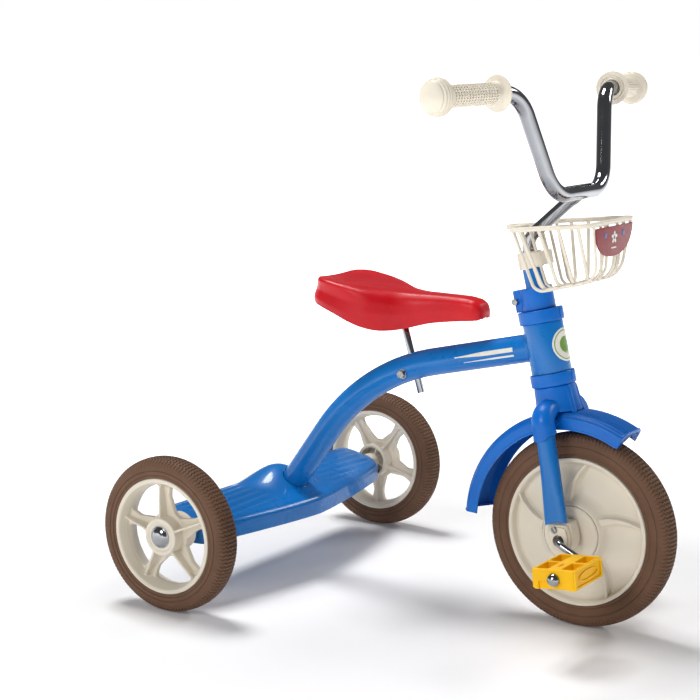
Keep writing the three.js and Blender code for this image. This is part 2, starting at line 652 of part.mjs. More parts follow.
// ---- mudguard: a channel bent round the tyre ----
function buildMudguard() {
  const { radius, shift, halfWidth, depth, wall, from, to } = GUARD;
  const outer = [[halfWidth, -depth], [halfWidth, -6], [halfWidth - 7, -1], [0, 0]];
  const inner = [[halfWidth - wall, -depth], [halfWidth - wall, -7], [halfWidth - 8, -wall - 1.4], [0, -wall]];
  const mirror = (points) => points.slice(0, 3).map(([v, rise]) => [-v, rise]).reverse();
  const section = [...outer, ...mirror(outer), ...[...inner, ...mirror(inner)].reverse()];
  const lean = Math.PI / 2 - HEAD_ANGLE;
  const [u, w] = [shift * Math.cos(lean), -shift * Math.sin(lean)];
  const steps = 20;
  const rings = [];
  for (let i = 0; i <= steps; i += 1) {
    const turn = THREE.MathUtils.degToRad(lerp(from, to, i / steps)) - lean;
    rings.push(section.map(([v, rise]) => {
      const reach = radius + rise;
      return new THREE.Vector3(u + Math.cos(turn) * reach, v, w + Math.sin(turn) * reach);
    }));
  }
  const { radius: shankRadius, head, low, seat, high } = GUARD_SCREW;
  const hole = rod(shankRadius + GAP, [0, 0, 140], [0, 0, 170], 10);
  place(steering, 'mudguard', cut(loft(rings), hole), bluePlastic);
  const screw = join(rod(shankRadius, [0, 0, seat - 1.4], [0, 0, high], 10), rod(head, [0, 0, low], [0, 0, seat], 12));
  place(steering, 'mudguard_screw', screw, zincSteel);
}

// ---- clamp on the steerer ----
function buildClamp() {
  const { radius, low, high, earReach, earHalf } = CLAMP;
  const middle = (low + high) / 2;
  const ring = rod(radius, [0, 0, low], [0, 0, high], 32);
  const ears = box([earReach, 2 * earHalf, high - low], [-earReach / 2, 0, middle]);
  const bore = rod(STEERER.radius + GAP, [0, 0, low - 5], [0, 0, high + 5], 32);
  const slit = box([earReach, 2.4, high - low + 4], [-earReach / 2 - 10, 0, middle]);
  const { u, radius: boltRadius, head: headRadius, depth } = CLAMP_BOLT;
  const boltRod = (size, from, to, sides) => rod(size, [u, from, middle], [u, to, middle], sides);
  const boltHole = boltRod(boltRadius + 0.4, -20, 20, 10);
  place(steering, 'steering_clamp', cut(join(ring, ears), bore, slit, boltHole), bluePlastic);
  const seat = earHalf + GAP;
  const shank = boltRod(boltRadius, -seat - 2.7, seat + depth + 0.4, 10);
  const head = boltRod(headRadius, -seat - depth, -seat, 6);
  place(steering, 'clamp_bolt', join(shank, head), zincSteel);
  const clampNut = nut(boltRadius, headRadius, [u, seat, middle], [u, seat + depth, middle]);
  place(steering, 'clamp_nut', clampNut, zincSteel);
}

// ---- handlebar ----
function mirrorV([u, v, w], sign) {
  return new THREE.Vector3(u, sign * v, w);
}

function gripDirection(sign) {
  return mirrorV(GRIP_KNOB, sign).sub(mirrorV(BAR.top, sign)).normalize();
}

function buildHandlebar() {
  const end = (sign) => mirrorV(BAR.top, sign).addScaledVector(gripDirection(sign), GRIP.bar);
  const points = [
    end(-1), mirrorV(BAR.top, -1), mirrorV(BAR.bottom, -1), mirrorV(BAR.bottom, 1), mirrorV(BAR.top, 1), end(1),
  ];
  place(steering, 'handlebar', bar(bend(points, BAR.bendRadius, 6), BAR.radius, 14), chrome);

  const joint = new THREE.Vector3(BAR.bottom[0], 0, BAR.bottom[2]);
  const corner = new THREE.Vector3(0, 0, STEM.corner);
  const rise = joint.clone().sub(corner).normalize();
  const top = joint.clone().addScaledVector(rise, -BAR.radius - GAP - 1);
  const stem = bar(bend([new THREE.Vector3(0, 0, STEM.low), corner, top], STEM.bendRadius, 4), STEM.radius, 14);
  place(steering, 'handlebar_stem', stem, chrome);

  for (const [side, sign] of SIDES) {
    const { start, end: gripEnd, flange, body, knob, bar: barEnd } = GRIP;
    const bore = BAR.radius + GAP;
    const grip = lathe([
      [0, barEnd + 2], [bore, barEnd + 2], [bore, start], [flange - 3, start], [flange, start + 3],
      [flange - 2, start + 7], [body, start + 11], [body, 128], [knob - 4, 131], [knob, 139], [knob, 149],
      [knob - 5, 156], [knob - 13, gripEnd], [0, gripEnd],
    ], 20, 'y', false);
    const turn = new THREE.Quaternion().setFromUnitVectors(new THREE.Vector3(0, 1, 0), gripDirection(sign));
    grip.applyQuaternion(turn);
    grip.translate(...mirrorV(BAR.top, sign).toArray());
    place(steering, `grip_${side}`, grip, creamPlastic);
  }
}

// ---- basket: crossing bars hung from a rim that loops behind the stem, with a collar on the steerer ----
function rimPoint(u, v) {
  const { rear, front, rimRear, rimFront } = BASKET;
  return new THREE.Vector3(u, v, rimRear + ((u - rear) / (front - rear)) * (rimFront - rimRear));
}

function basketRim() {
  const { rear, front, rearHalf, frontHalf, loop, rimBar } = BASKET;
  const half = [[-loop - 6, loop], [rear, loop], [rear, rearHalf], [front, frontHalf]];
  const points = [...half, ...half.map(([u, v]) => [u, -v]).reverse()].map(([u, v]) => rimPoint(u, v));
  return bar(bend(points, 9, 2, true), rimBar, 6, true);
}

function hoop(points) {
  return bar(bend(points, 10, 1), BASKET.bar, 6);
}

function buildBasket() {
  const b = BASKET;
  const hoops = [];
  for (const share of [-1, -0.63, -0.27, 0.27, 0.63, 1]) {
    hoops.push(hoop([
      rimPoint(b.rear, share * 58), new THREE.Vector3(b.floorRear, share * b.floorRearHalf, b.floorLow),
      new THREE.Vector3(b.floorFront, share * b.floorFrontHalf, b.floorLow), rimPoint(b.front, share * 52),
    ]));
  }
  for (const share of [0.14, 0.38, 0.62, 0.86]) {
    const top = rimPoint(lerp(b.rear, b.front, share), lerp(b.rearHalf, b.frontHalf, share));
    const floorHalf = lerp(b.floorRearHalf, b.floorFrontHalf, share);
    const low = new THREE.Vector3(lerp(b.floorRear, b.floorFront, share), floorHalf, b.floorLow + 1);
    const mirrored = [low, top].map((point) => new THREE.Vector3(point.x, -point.y, point.z));
    hoops.push(hoop([top, low, ...mirrored]));
  }
  const ring = rod(b.collar, [0, 0, b.collarLow], [0, 0, b.collarHigh], 20);
  const bridge = box([26, 20, b.collarHigh - b.collarLow], [13, 0, (b.collarHigh + b.collarLow) / 2]);
  const stay = rod(2.2, [23, -17, b.collarLow + 10], [23, 17, b.collarLow + 10], 8);
  const bore = rod(STEERER.radius + GAP, [0, 0, b.collarLow - 5], [0, 0, b.collarHigh + 5], 24);
  place(steering, 'basket', cut(join(basketRim(), ring, bridge, stay, ...hoops), bore), creamPlastic);
}

function buildLabel() {
  const b = BASKET;
  const shape = new THREE.Shape();
  shape.moveTo(-50, 0);
  shape.lineTo(50, 0);
  shape.quadraticCurveTo(42, -26, 0, -36);
  shape.quadraticCurveTo(-42, -26, -50, 0);
  const geometry = new THREE.ExtrudeGeometry(shape, { depth: 1.6, curveSegments: 6, bevelEnabled: false });
  geometry.rotateX(Math.PI / 2);
  geometry.rotateZ(Math.PI / 2);
  const fall = Math.atan2(b.front - b.floorFront, b.rimFront - b.floorLow);
  geometry.rotateY(fall);
  const drop = b.rimBar + 2;
  const u = b.front - drop * Math.tan(fall) + (b.bar + 0.4) / Math.cos(fall);
  geometry.translate(u, 0, b.rimFront - drop);
  place(steering, 'basket_label', geometry, labelRed);
}

// ---- saddle and seat post ----
const SADDLE_ROWS = [
  // x, half-width, top of the edge, top of the middle, lower edge
  [79.5, 14, 412, 411, 400],
  [82, 34, 415, 413, 397],
  [89, 50, 419, 415, 394],
  [105, 61, 420, 414, 391],
  [130, 65, 416, 411, 378],
  [155, 60, 412, 408, 363],
  [180, 47, 408, 406, 355.5],
  [205, 31, 402, 405, 356],
  [235, 22.5, 400, 405, 364],
  [270, 20, 399, 405, 370],
  [300, 16.5, 396, 402, 374],
  [312, 11, 391, 397, 378],
  [318.5, 4.5, 386, 389, 381],
];

function saddleRing(x) {
  const [half, edge, middle, low] = between(SADDLE_ROWS, x);
  const wall = Math.min(6, half * 0.45);
  const ceiling = Math.max(low + 1.5, middle - 20);
  const ring = [];
  const outline = [[0, 1], [0.3, 1], [0.6, 1], [0.86, 0.96], [0.97, 0.75], [1, 0.35]];
  const top = [...outline.slice(1).map(([across, share]) => [-across, share]).reverse(), ...outline];
  ring.push(new THREE.Vector3(x, -half * 0.95, low));
  for (const [across, share] of top) {
    const crest = lerp(middle, edge, Math.pow(Math.abs(across), 2));
    ring.push(new THREE.Vector3(x, across * half, lerp(low, crest, share)));
  }
  ring.push(new THREE.Vector3(x, half * 0.95, low));
  ring.push(new THREE.Vector3(x, half * 0.95 - wall, low + 0.5));
  ring.push(new THREE.Vector3(x, half * 0.9 - wall, ceiling));
  ring.push(new THREE.Vector3(x, -half * 0.9 + wall, ceiling));
  ring.push(new THREE.Vector3(x, -half * 0.95 + wall, low + 0.5));
  return ring;
}

function buildSeat() {
  const rows = SADDLE_ROWS.map(([x]) => x);
  const stations = [...rows, 117, 142, 167, 192, 220].sort((a, b) => a - b);
  place(trike, 'saddle', loft(stations.map(saddleRing)), redPlastic);
  const [footX, footZ] = POST.foot;
  const [headX, headZ] = POST.head;
  place(trike, 'seat_post', rod(POST.radius, [footX, 0, footZ], [headX, 0, headZ], 16), chrome);
  place(trike, 'seat_plate', box([56, 34, 3], [headX - 4, 0, headZ + 3.4]), zincSteel);
}

buildFrame();
buildDeck();
buildRearWheels();
buildFrontWheel();
buildPedals();
buildFork();
buildMudguard();
buildClamp();
buildHandlebar();
buildBasket();
buildLabel();
buildSeat();

export default trike;
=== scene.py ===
# Looks for the children's tricycle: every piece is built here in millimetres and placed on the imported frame.
import json
import math

import bmesh
import bpy
import numpy as np
from mathutils import Matrix, Vector
from mathutils.geometry import tessellate_polygon


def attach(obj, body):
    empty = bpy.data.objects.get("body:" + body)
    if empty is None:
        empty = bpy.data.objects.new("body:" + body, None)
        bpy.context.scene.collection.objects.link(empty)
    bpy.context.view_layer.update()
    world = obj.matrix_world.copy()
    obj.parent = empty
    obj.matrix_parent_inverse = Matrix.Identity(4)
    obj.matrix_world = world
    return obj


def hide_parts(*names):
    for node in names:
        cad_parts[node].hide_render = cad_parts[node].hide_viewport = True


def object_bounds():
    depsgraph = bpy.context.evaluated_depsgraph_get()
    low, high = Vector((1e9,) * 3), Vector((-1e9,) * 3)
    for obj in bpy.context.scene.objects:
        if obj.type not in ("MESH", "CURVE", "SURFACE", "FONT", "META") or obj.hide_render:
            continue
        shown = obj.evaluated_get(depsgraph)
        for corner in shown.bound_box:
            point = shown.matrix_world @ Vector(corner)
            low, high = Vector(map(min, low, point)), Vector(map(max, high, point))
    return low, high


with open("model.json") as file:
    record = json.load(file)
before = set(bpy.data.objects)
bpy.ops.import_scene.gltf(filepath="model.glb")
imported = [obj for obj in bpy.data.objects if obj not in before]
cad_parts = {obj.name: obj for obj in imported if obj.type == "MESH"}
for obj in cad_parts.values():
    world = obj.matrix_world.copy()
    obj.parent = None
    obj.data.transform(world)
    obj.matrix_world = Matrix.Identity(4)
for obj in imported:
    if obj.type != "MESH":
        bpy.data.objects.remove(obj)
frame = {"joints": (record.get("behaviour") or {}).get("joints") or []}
cad_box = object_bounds()

MM = 0.001
JOINTS = {joint["name"]: joint for joint in frame["joints"]}
SIDES = (("right", -1), ("left", 1))

# ---- frames of reference, taken from the record's joints ----
STEER_AT = Vector(JOINTS["steering"]["pos_m"])
STEER_W = Vector(JOINTS["steering"]["axis"]).normalized()
STEER_U = Vector((STEER_W.z, 0, -STEER_W.x))
FRONT_AT = Vector(JOINTS["front_wheel_spin"]["pos_m"])
REAR_AT = {side: Vector(JOINTS[f"rear_wheel_{side}_spin"]["pos_m"]) for side, _ in SIDES}
PEDAL_AT = {side: Vector(JOINTS[f"pedal_{side}_spin"]["pos_m"]) for side, _ in SIDES}


def frame_matrix(origin, x_axis=(1, 0, 0), y_axis=(0, 1, 0), z_axis=(0, 0, 1)):
    """Millimetres along the three axes to metres in the row frame."""
    columns = Matrix((x_axis, y_axis, z_axis)).transposed().to_4x4()
    return Matrix.Translation(origin) @ columns @ Matrix.Scale(MM, 4)


STEER = frame_matrix(STEER_AT, STEER_U, (0, 1, 0), STEER_W)
TRIKE = frame_matrix(Vector((REAR_AT["right"].x, 0, 0)))
AXLE_HEIGHT = REAR_AT["right"].z / MM
FRONT_HEIGHT = FRONT_AT.z / MM
FLIP = Matrix.Rotation(math.pi, 4, "X")


def facing(matrix, sign):
    """Turns a piece modelled for the left side over to the right side."""
    return matrix if sign > 0 else matrix @ FLIP


# ---- number helpers ----
def lerp(a, b, t):
    return a + (b - a) * t


def smooth(value):
    t = np.clip(value, 0, 1)
    return t * t * (3 - 2 * t)


def table(rows, places):
    """Smooth look-up in rows of (position, value, value...)."""
    rows = np.asarray(rows, float)
    x, y = rows[:, 0], rows[:, 1:]
    slope = np.gradient(y, x, axis=0)
    i = np.clip(np.searchsorted(x, places, side="right") - 1, 0, len(x) - 2)
    h = (x[i + 1] - x[i])[:, None]
    t = np.clip((places - x[i])[:, None] / h, 0, 1)
    a, b = t * t * (3 - 2 * t), t * (1 - t)
    return (1 - a) * y[i] + a * y[i + 1] + b * h * ((1 - t) * slope[i] - t * slope[i + 1])


def rounded(points, radius, steps=6, closed=False):
    """A polyline in two or three dimensions with its corners rounded."""
    points = [np.asarray(p, float) for p in points]
    n = len(points)
    radii = radius if hasattr(radius, "__len__") else [radius] * n
    out = []
    for i, p in enumerate(points):
        a, b = points[i - 1] - p, points[(i + 1) % n] - p
        la, lb = np.linalg.norm(a), np.linalg.norm(b)
        if radii[i] <= 0 or (not closed and i in (0, n - 1)):
            out.append(p)
            continue
        a, b = a / la, b / lb
        half = math.acos(float(np.clip(a @ b, -1, 1))) / 2
        if half > 1.55:
            out.append(p)
            continue
        reach = min(radii[i] / math.tan(half), 0.49 * la, 0.49 * lb)
        middle = (a + b) / np.linalg.norm(a + b)
        centre = p + middle * reach / math.cos(half)
        start, end = p + a * reach - centre, p + b * reach - centre
        turn = math.pi - 2 * half
        for k in range(steps + 1):
            t = k / steps
            out.append(centre + (math.sin((1 - t) * turn) * start + math.sin(t * turn) * end) / math.sin(turn))
    return np.array(out)


def box(x0, x1, y0, y1, radius, steps=4):
    """A rectangle with rounded corners."""
    return rounded([(x0, y0), (x1, y0), (x1, y1), (x0, y1)], radius, steps, closed=True)


def dense(points, step):
    """The same polyline with extra points, so that no stretch is longer than the step."""
    out = [points[0]]
    for a, b in zip(points[:-1], points[1:]):
        count = max(1, int(math.ceil(np.linalg.norm(b - a) / step)))
        out.extend(a + (b - a) * k / count for k in range(1, count + 1))
    return np.array(out)


def evenly(points, count):
    """The same polyline with evenly spread points."""
    run = np.concatenate([[0], np.cumsum(np.linalg.norm(np.diff(points, axis=0), axis=1))])
    places = np.linspace(0, run[-1], count)
    return np.stack([np.interp(places, run, column) for column in points.T], -1)


def ring_shape(count, half_a, half_b=None, power=2.0):
    """An oval section: a circle, an ellipse or, with more power, a squarer one."""
    turn = np.arange(count) * 2 * math.pi / count
    c, s = np.cos(turn), np.sin(turn)
    shrink = (np.abs(c) ** power + np.abs(s) ** power) ** (-1 / power)
    return np.stack([c * shrink * half_a, s * shrink * (half_b or half_a)], -1)


# ---- solids, each a (points, faces) pair in millimetres ----
def ring_about_y(radius, height, turn):
    """Points round the Y axis; the radius and the height may each be one number or one per point."""
    return np.stack([radius * np.cos(turn), height + 0 * turn, radius * np.sin(turn)], -1)


def skin(rings, closed=False, caps=True):
    """Skins a row of rings with the same number of points."""
    rings = np.asarray(rings, float)
    n, m = rings.shape[:2]
    i = np.arange(n if closed else n - 1)[:, None]
    j = np.arange(m)[None, :]
    k, nxt = (j + 1) % m, (i + 1) % n
    quads = np.stack([i * m + j, i * m + k, nxt * m + k, nxt * m + j], -1).reshape(-1, 4)
    points = rings.reshape(-1, 3)
    faces = quads.tolist()
    if caps and not closed:
        for row, base in ((rings[0], 0), (rings[-1], (n - 1) * m)):
            points = np.vstack([points, row.mean(0)])
            centre = len(points) - 1
            faces += [[base + a, base + (a + 1) % m, centre] for a in range(m)]
    return points, faces


def lathe(profile, segments=96, axis="y"):
    """Turns a closed (radius, height) profile about an axis."""
    profile = np.asarray(profile, float)
    turn = np.arange(segments) * 2 * math.pi / segments
    r = profile[:, 0][:, None] * np.ones_like(turn)[None, :]
    h = profile[:, 1][:, None] * np.ones_like(r)
    a, b = r * np.cos(turn), r * np.sin(turn)
    stack = {"y": (a, h, b), "z": (a, b, h), "x": (h, a, b)}[axis]
    return skin(np.stack(stack, -1), closed=True)


def turned(profile, radius=0.6, steps=4):
    """A closed profile with softened corners; points on the axis stay sharp."""
    radii = [0 if p[0] < 1e-6 else (p[2] if len(p) > 2 else radius) for p in profile]
    return rounded([p[:2] for p in profile], radii, steps, closed=True)


def washer(inner, outer, low, high, edge=0.3, segments=48, axis="y", steps=4):
    """A ring or tube about an axis, between two radii and two heights."""
    return lathe(turned([(inner, low), (outer, low), (outer, high), (inner, high)], edge, steps), segments, axis)


def sweep(path, section, closed=False, guide=(0, 0, 1), caps=True):
    """Carries a section, or one section per station, along a path without twisting."""
    path = np.asarray(path, float)
    ahead = np.roll(path, -1, 0) - np.roll(path, 1, 0)
    if not closed:
        ahead[0], ahead[-1] = path[1] - path[0], path[-1] - path[-2]
    ahead /= np.linalg.norm(ahead, axis=1)[:, None]
    side = np.cross(ahead[0], guide)
    side /= np.linalg.norm(side)
    rings = []
    for i, (at, along) in enumerate(zip(path, ahead)):
        side = side - along * (side @ along)
        side /= np.linalg.norm(side)
        up = np.cross(side, along)
        shape = section[i] if np.ndim(section) == 3 else section
        rings.append(at + shape[:, :1] * side + shape[:, 1:] * up)
    return skin(rings, closed, caps)


def plate(loops, low, high, bevel=0.6, steps=3):
    """A flat plate between two heights with rounded edges; the first loop is its outline, the rest are holes."""
    points, faces, lids = np.zeros((0, 3)), [], ([], [])
    for k, loop in enumerate(loops):
        loop = np.asarray(loop, float)
        after = np.roll(loop, -1, 0)
        area = np.sum(loop[:, 0] * after[:, 1] - loop[:, 1] * after[:, 0])
        if (area > 0) == (k > 0):
            loop = loop[::-1]
        along = np.roll(loop, -1, 0) - np.roll(loop, 1, 0)
        along /= np.linalg.norm(along, axis=1)[:, None]
        inward = np.stack([-along[:, 1], along[:, 0]], -1)
        turns = [s / steps * math.pi / 2 for s in range(steps + 1)]
        levels = [(low + bevel * (1 - math.cos(a)), bevel * (1 - math.sin(a))) for a in turns]
        levels += [(high + low - z, inset) for z, inset in reversed(levels)]
        rings = [np.column_stack([loop + inward * inset, np.full(len(loop), z)]) for z, inset in levels]
        wall_points, wall_faces = skin(rings, caps=False)
        base = len(points)
        points = np.vstack([points, wall_points])
        faces += [[base + v for v in face] for face in wall_faces]
        lids[0].append((base, rings[0]))
        lids[1].append((base + len(loop) * (len(levels) - 1), rings[-1]))
    for lid in lids:
        index = [base + v for base, ring in lid for v in range(len(ring))]
        flat = tessellate_polygon([[Vector((p[0], p[1], 0)) for p in ring] for _, ring in lid])
        faces += [[index[v] for v in face] for face in flat]
    return points, faces


def moved(part, matrix):
    """A part carried by a 4x4 matrix."""
    m = np.array(matrix)
    return part[0] @ m[:3, :3].T + m[:3, 3], part[1]


def merged(parts):
    points, faces, base = [], [], 0
    for part_points, part_faces in parts:
        points.append(part_points)
        faces += [[base + v for v in face] for face in part_faces]
        base += len(part_points)
    return np.vstack(points), faces


AXIS_TO_Y = Matrix.Rotation(-math.pi / 2, 4, "X")    # a plate's height becomes +Y, its y becomes -Z


def disc(radius, count=48, centre=(0, 0)):
    return ring_shape(count, radius) + np.array(centre)


def mesh_from(part, name="work"):
    mesh = bpy.data.meshes.new(name)
    mesh.from_pydata(part[0].tolist(), [], part[1])
    work = bmesh.new()
    work.from_mesh(mesh)
    bmesh.ops.remove_doubles(work, verts=work.verts, dist=1e-4)
    bmesh.ops.recalc_face_normals(work, faces=work.faces)
    work.to_mesh(mesh)
    work.free()
    return mesh


def evaluated(part, *modifiers):
    """The part after a row of (type, settings) modifiers."""
    shell = bpy.data.objects.new("work", mesh_from(part))
    bpy.context.scene.collection.objects.link(shell)
    for kind, settings in modifiers:
        modifier = shell.modifiers.new(kind, kind)
        for key, value in settings.items():
            setattr(modifier, key, value)
    bpy.context.view_layer.update()
    result = bpy.data.meshes.new_from_object(shell.evaluated_get(bpy.context.evaluated_depsgraph_get()))
    points = np.zeros(len(result.vertices) * 3)
    result.vertices.foreach_get("co", points)
    faces = [list(face.vertices) for face in result.polygons]
    bpy.data.objects.remove(shell)
    bpy.data.meshes.remove(result)
    return points.reshape(-1, 3), faces


def fused(parts, voxel, rounds):
    """One moulded skin over overlapping solids, with soft fillets where they meet."""
    remesh = ("REMESH", {"mode": "VOXEL", "voxel_size": voxel, "adaptivity": 0})
    return evaluated(merged(parts), remesh, ("SMOOTH", {"factor": 0.5, "iterations": rounds}))


def without(part, cutter):
    """The part with the cutter taken away."""
    tool = bpy.data.objects.new("tool", mesh_from(cutter))
    bpy.context.scene.collection.objects.link(tool)
    result = evaluated(part, ("BOOLEAN", {"operation": "DIFFERENCE", "solver": "EXACT", "object": tool}))
    bpy.data.objects.remove(tool)
    return result


# ---- materials ----
def tone(hex_code):
    """An sRGB colour code as linear light."""
    values = [int(hex_code[i:i + 2], 16) / 255 for i in (0, 2, 4)]
    return tuple(v / 12.92 if v < 0.04045 else ((v + 0.055) / 1.055) ** 2.4 for v in values) + (1,)


class Finish:
    """A Principled material built up from procedural layers."""

    def __init__(self, name, color, roughness, **settings):
        self.material = bpy.data.materials.new("look_" + name)
        self.material.use_nodes = True
        self.material.diffuse_color = tone(color)
        self.nodes = self.material.node_tree.nodes
        self.links = self.material.node_tree.links
        self.shader = self.nodes["Principled BSDF"]
        self.where = self.nodes.new("ShaderNodeTexCoord").outputs["Object"]
        self.color, self.roughness = tone(color), roughness
        self.normal = None
        for key, value in settings.items():
            self.shader.inputs[key].default_value = value

    def noise(self, scale, detail=3):
        node = self.nodes.new("ShaderNodeTexNoise")
        node.inputs["Scale"].default_value = scale
        node.inputs["Detail"].default_value = detail
        node.inputs["Roughness"].default_value = 0.5
        self.links.new(self.where, node.inputs["Vector"])
        return node.outputs["Fac"]

    def cells(self, scale):
        node = self.nodes.new("ShaderNodeTexVoronoi")
        node.inputs["Scale"].default_value = scale
        self.links.new(self.where, node.inputs["Vector"])
        return node.outputs["Distance"]

    def spread(self, value, low, high, start=0.3, end=0.7):
        node = self.nodes.new("ShaderNodeMapRange")
        self.links.new(value, node.inputs["Value"])
        for key, number in zip(("From Min", "From Max", "To Min", "To Max"), (start, end, low, high)):
            node.inputs[key].default_value = number
        return node.outputs["Result"]

    def tint(self, base, color, factor):
        node = self.nodes.new("ShaderNodeMix")
        node.data_type = "RGBA"
        self.links.new(factor, node.inputs["Factor"])
        if isinstance(base, tuple):
            node.inputs[6].default_value = base
        else:
            self.links.new(base, node.inputs[6])
        node.inputs[7].default_value = tone(color)
        return node.outputs[2]

    def mottle(self, color, scale, amount):
        """Slow colour drift over the surface."""
        base = self.color
        self.color = self.tint(base, color, self.spread(self.noise(scale), 0, amount))
        return self

    def edges(self, color, amount, start, end):
        """Lighter, worn edges; with start above end, darker creases, which are painted shade."""
        pointed = self.nodes.new("ShaderNodeNewGeometry").outputs["Pointiness"]
        # with start above end this tint paints shade into the creases
        self.color = self.tint(self.color, color, self.spread(pointed, 0, amount, start, end))
        return self

    def gloss(self, scale, spread):
        """Roughness that wanders by the given amount."""
        low, high = self.roughness - spread, self.roughness + spread
        self.links.new(self.spread(self.noise(scale, 5), low, high), self.shader.inputs["Roughness"])
        return self

    def bump(self, height, strength, distance):
        node = self.nodes.new("ShaderNodeBump")
        node.inputs["Strength"].default_value = strength
        node.inputs["Distance"].default_value = distance
        self.links.new(height, node.inputs["Height"])
        if self.normal:
            self.links.new(self.normal, node.inputs["Normal"])
        self.normal = node.outputs["Normal"]
        return self

    def done(self):
        if isinstance(self.color, tuple):
            self.shader.inputs["Base Color"].default_value = self.color
        else:
            self.links.new(self.color, self.shader.inputs["Base Color"])
        if not self.shader.inputs["Roughness"].is_linked:
            self.shader.inputs["Roughness"].default_value = self.roughness
        if self.normal:
            self.links.new(self.normal, self.shader.inputs["Normal"])
        return self.material


DULL = {"Specular IOR Level": 0.3}
FINISHES = (
    # name, colour, roughness, shader settings, drift (colour, noise scale, amount), gloss (noise scale, spread),
    # grain (noise scale, detail, strength, depth in metres)
    ("frame_paint", "0A72C0", 0.3, {"Specular IOR Level": 0.2, "Coat Weight": 0.4, "Coat Roughness": 0.05},
     ("0863AE", 9, 0.6), (60, 0.05), (420, 2, 0.03, 0.0001)),
    ("blue_plastic", "026ECB", 0.34, DULL, ("025CB6", 14, 0.7), (90, 0.06), (700, 3, 0.05, 0.0002)),
    ("cream_plastic", "E2DACA", 0.42, {"Specular IOR Level": 0.35}, ("DDD4C2", 18, 0.8), (120, 0.06),
     (900, 3, 0.1, 0.0003)),
    ("tyre_rubber", "6C4E3A", 0.7, {"Specular IOR Level": 0.35}, ("5E4331", 22, 0.8), (160, 0.08),
     (1100, 4, 0.25, 0.0004)),
    ("chrome", "9C9EA2", 0.08, {"Metallic": 1.0}, ("888A8E", 30, 0.5), (140, 0.03), (260, 2, 0.02, 0.0003)),
    ("zinc_steel", "A5A6A6", 0.34, {"Metallic": 1.0}, ("878A8C", 120, 0.8), (400, 0.1), (1500, 3, 0.1, 0.0002)),
    ("red_plastic", "CC0818", 0.4, DULL, ("B4081A", 11, 0.8), (80, 0.07), (260, 4, 0.1, 0.0004)),
    ("yellow_plastic", "FFC600", 0.38, {"Specular IOR Level": 0.25}, ("F5B400", 30, 0.7), (160, 0.06),
     (900, 3, 0.1, 0.0003)),
    ("label_red", "84242A", 0.4, DULL, ("7F262C", 60, 0.8), (200, 0.06), (1400, 3, 0.08, 0.0002)),
    ("label_trim", "E7E4DA", 0.45, {}, ("D9D5C8", 90, 0.8), (200, 0.05), (1200, 3, 0.05, 0.0002)),
    ("label_accent", "3F66A8", 0.45, {}, ("365A98", 90, 0.8), (200, 0.05), (1200, 3, 0.05, 0.0002)),
    ("badge_green", "6E9A3A", 0.35, {"Coat Weight": 0.4}, ("5F8A30", 90, 0.8), (200, 0.05), (1200, 3, 0.05, 0.0002)),
)
# the light edges are wear; the dark creases are painted shade
WEAR_AND_CREASE_SHADE = {    # light edges and dark creases: colour, amount, first and last pointiness
    # cream plastic: darker in creases, painted shade
    "cream_plastic": [("B9AD98", 0.4, 0.47, 0.40)],
    # tyre rubber: lighter worn edges, then darker grooves and creases as painted shade
    "tyre_rubber": [("7E6350", 0.35, 0.52, 0.62), ("33241A", 0.7, 0.48, 0.4)],
    # yellow plastic: darker in creases, painted shade
    "yellow_plastic": [("D88C00", 0.4, 0.47, 0.38)],
}


def make_finish(name, color, roughness, settings, drift, gloss, grain):
    finish = Finish(name, color, roughness, **settings)
    finish.mottle(*drift)
    # worn light edges, and painted shade in the creases
    for layer in WEAR_AND_CREASE_SHADE.get(name, ()):
        finish.edges(*layer)
    finish.gloss(*gloss)
    if name == "red_plastic":
        finish.bump(finish.cells(900), 0.22, 0.0003)    # the saddle's moulded leather-like cells
    scale, detail, strength, depth = grain
    return finish.bump(finish.noise(scale, detail), strength, depth).done()


FINISH = {row[0]: make_finish(*row) for row in FINISHES}
SLOT_FINISH = {"tyre": "tyre_rubber"}    # every other slot's finish has the slot's own name


def piece(name, parts, matrix, body, slot, replaces=(), finish=None, sharp=38):
    """Makes one named piece from parts in millimetres and puts it on its body; sharp is in degrees."""
    mesh = mesh_from(merged(parts), name)
    mesh.transform(matrix)
    mesh.polygons.foreach_set("use_smooth", [True] * len(mesh.polygons))
    mesh.set_sharp_from_angle(angle=math.radians(sharp))
    mesh.materials.append(FINISH[finish or SLOT_FINISH.get(slot, slot)])
    shape = bpy.data.objects.new(name, mesh)
    bpy.context.scene.collection.objects.link(shape)
    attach(shape, body)
    if replaces:
        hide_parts(*replaces)
    return shape


def rod(radius, start, end, sides=32, edge=0.5):
    """A straight round bar with softened ends."""
    start, end = np.asarray(start, float), np.asarray(end, float)
    length = np.linalg.norm(end - start)
    along = (end - start) / length
    places = [(0, radius - edge), (edge * 0.3, radius - edge * 0.3), (edge, radius)]
    places += [(length - at, size) for at, size in reversed(places)]
    guide = (0, 0, 1) if abs(along[2]) < 0.8 else (1, 0, 0)
    return sweep([start + along * at for at, _ in places], [ring_shape(sides, size) for _, size in places],
                 guide=guide)


def hexagon(radius, low, high):
    """A hexagonal head or nut standing along Z, with rounded corners."""
    corners = [(math.cos(a) * radius, math.sin(a) * radius) for a in np.arange(6) * math.pi / 3]
    return plate([rounded(corners, radius * 0.12, 3, closed=True)], low, high, min(0.5, radius * 0.12))


# ---- frame: backbone, head tube and headset ----
TUBE_RADIUS, HEAD_RADIUS, COLLAR_RADIUS = 18, 25.5, 28.5
HEAD_BORE, STEERER_BORE = 22, 12.6
TUBE_BEND, TUBE_REACH, NECK_AT = 450, 261, 200
HEAD_LOW, HEAD_HIGH = 201.3, 264.5
LOW_POINT = np.array([3.5, 0, AXLE_HEIGHT])
TUBE_CORNER = np.array([137.4, 0, 289.4])


def heading(degrees):
    return np.array([math.cos(math.radians(degrees)), 0, math.sin(math.radians(degrees))])


LOW_DIRECTION, HIGH_DIRECTION = heading(54.5), heading(13.3)


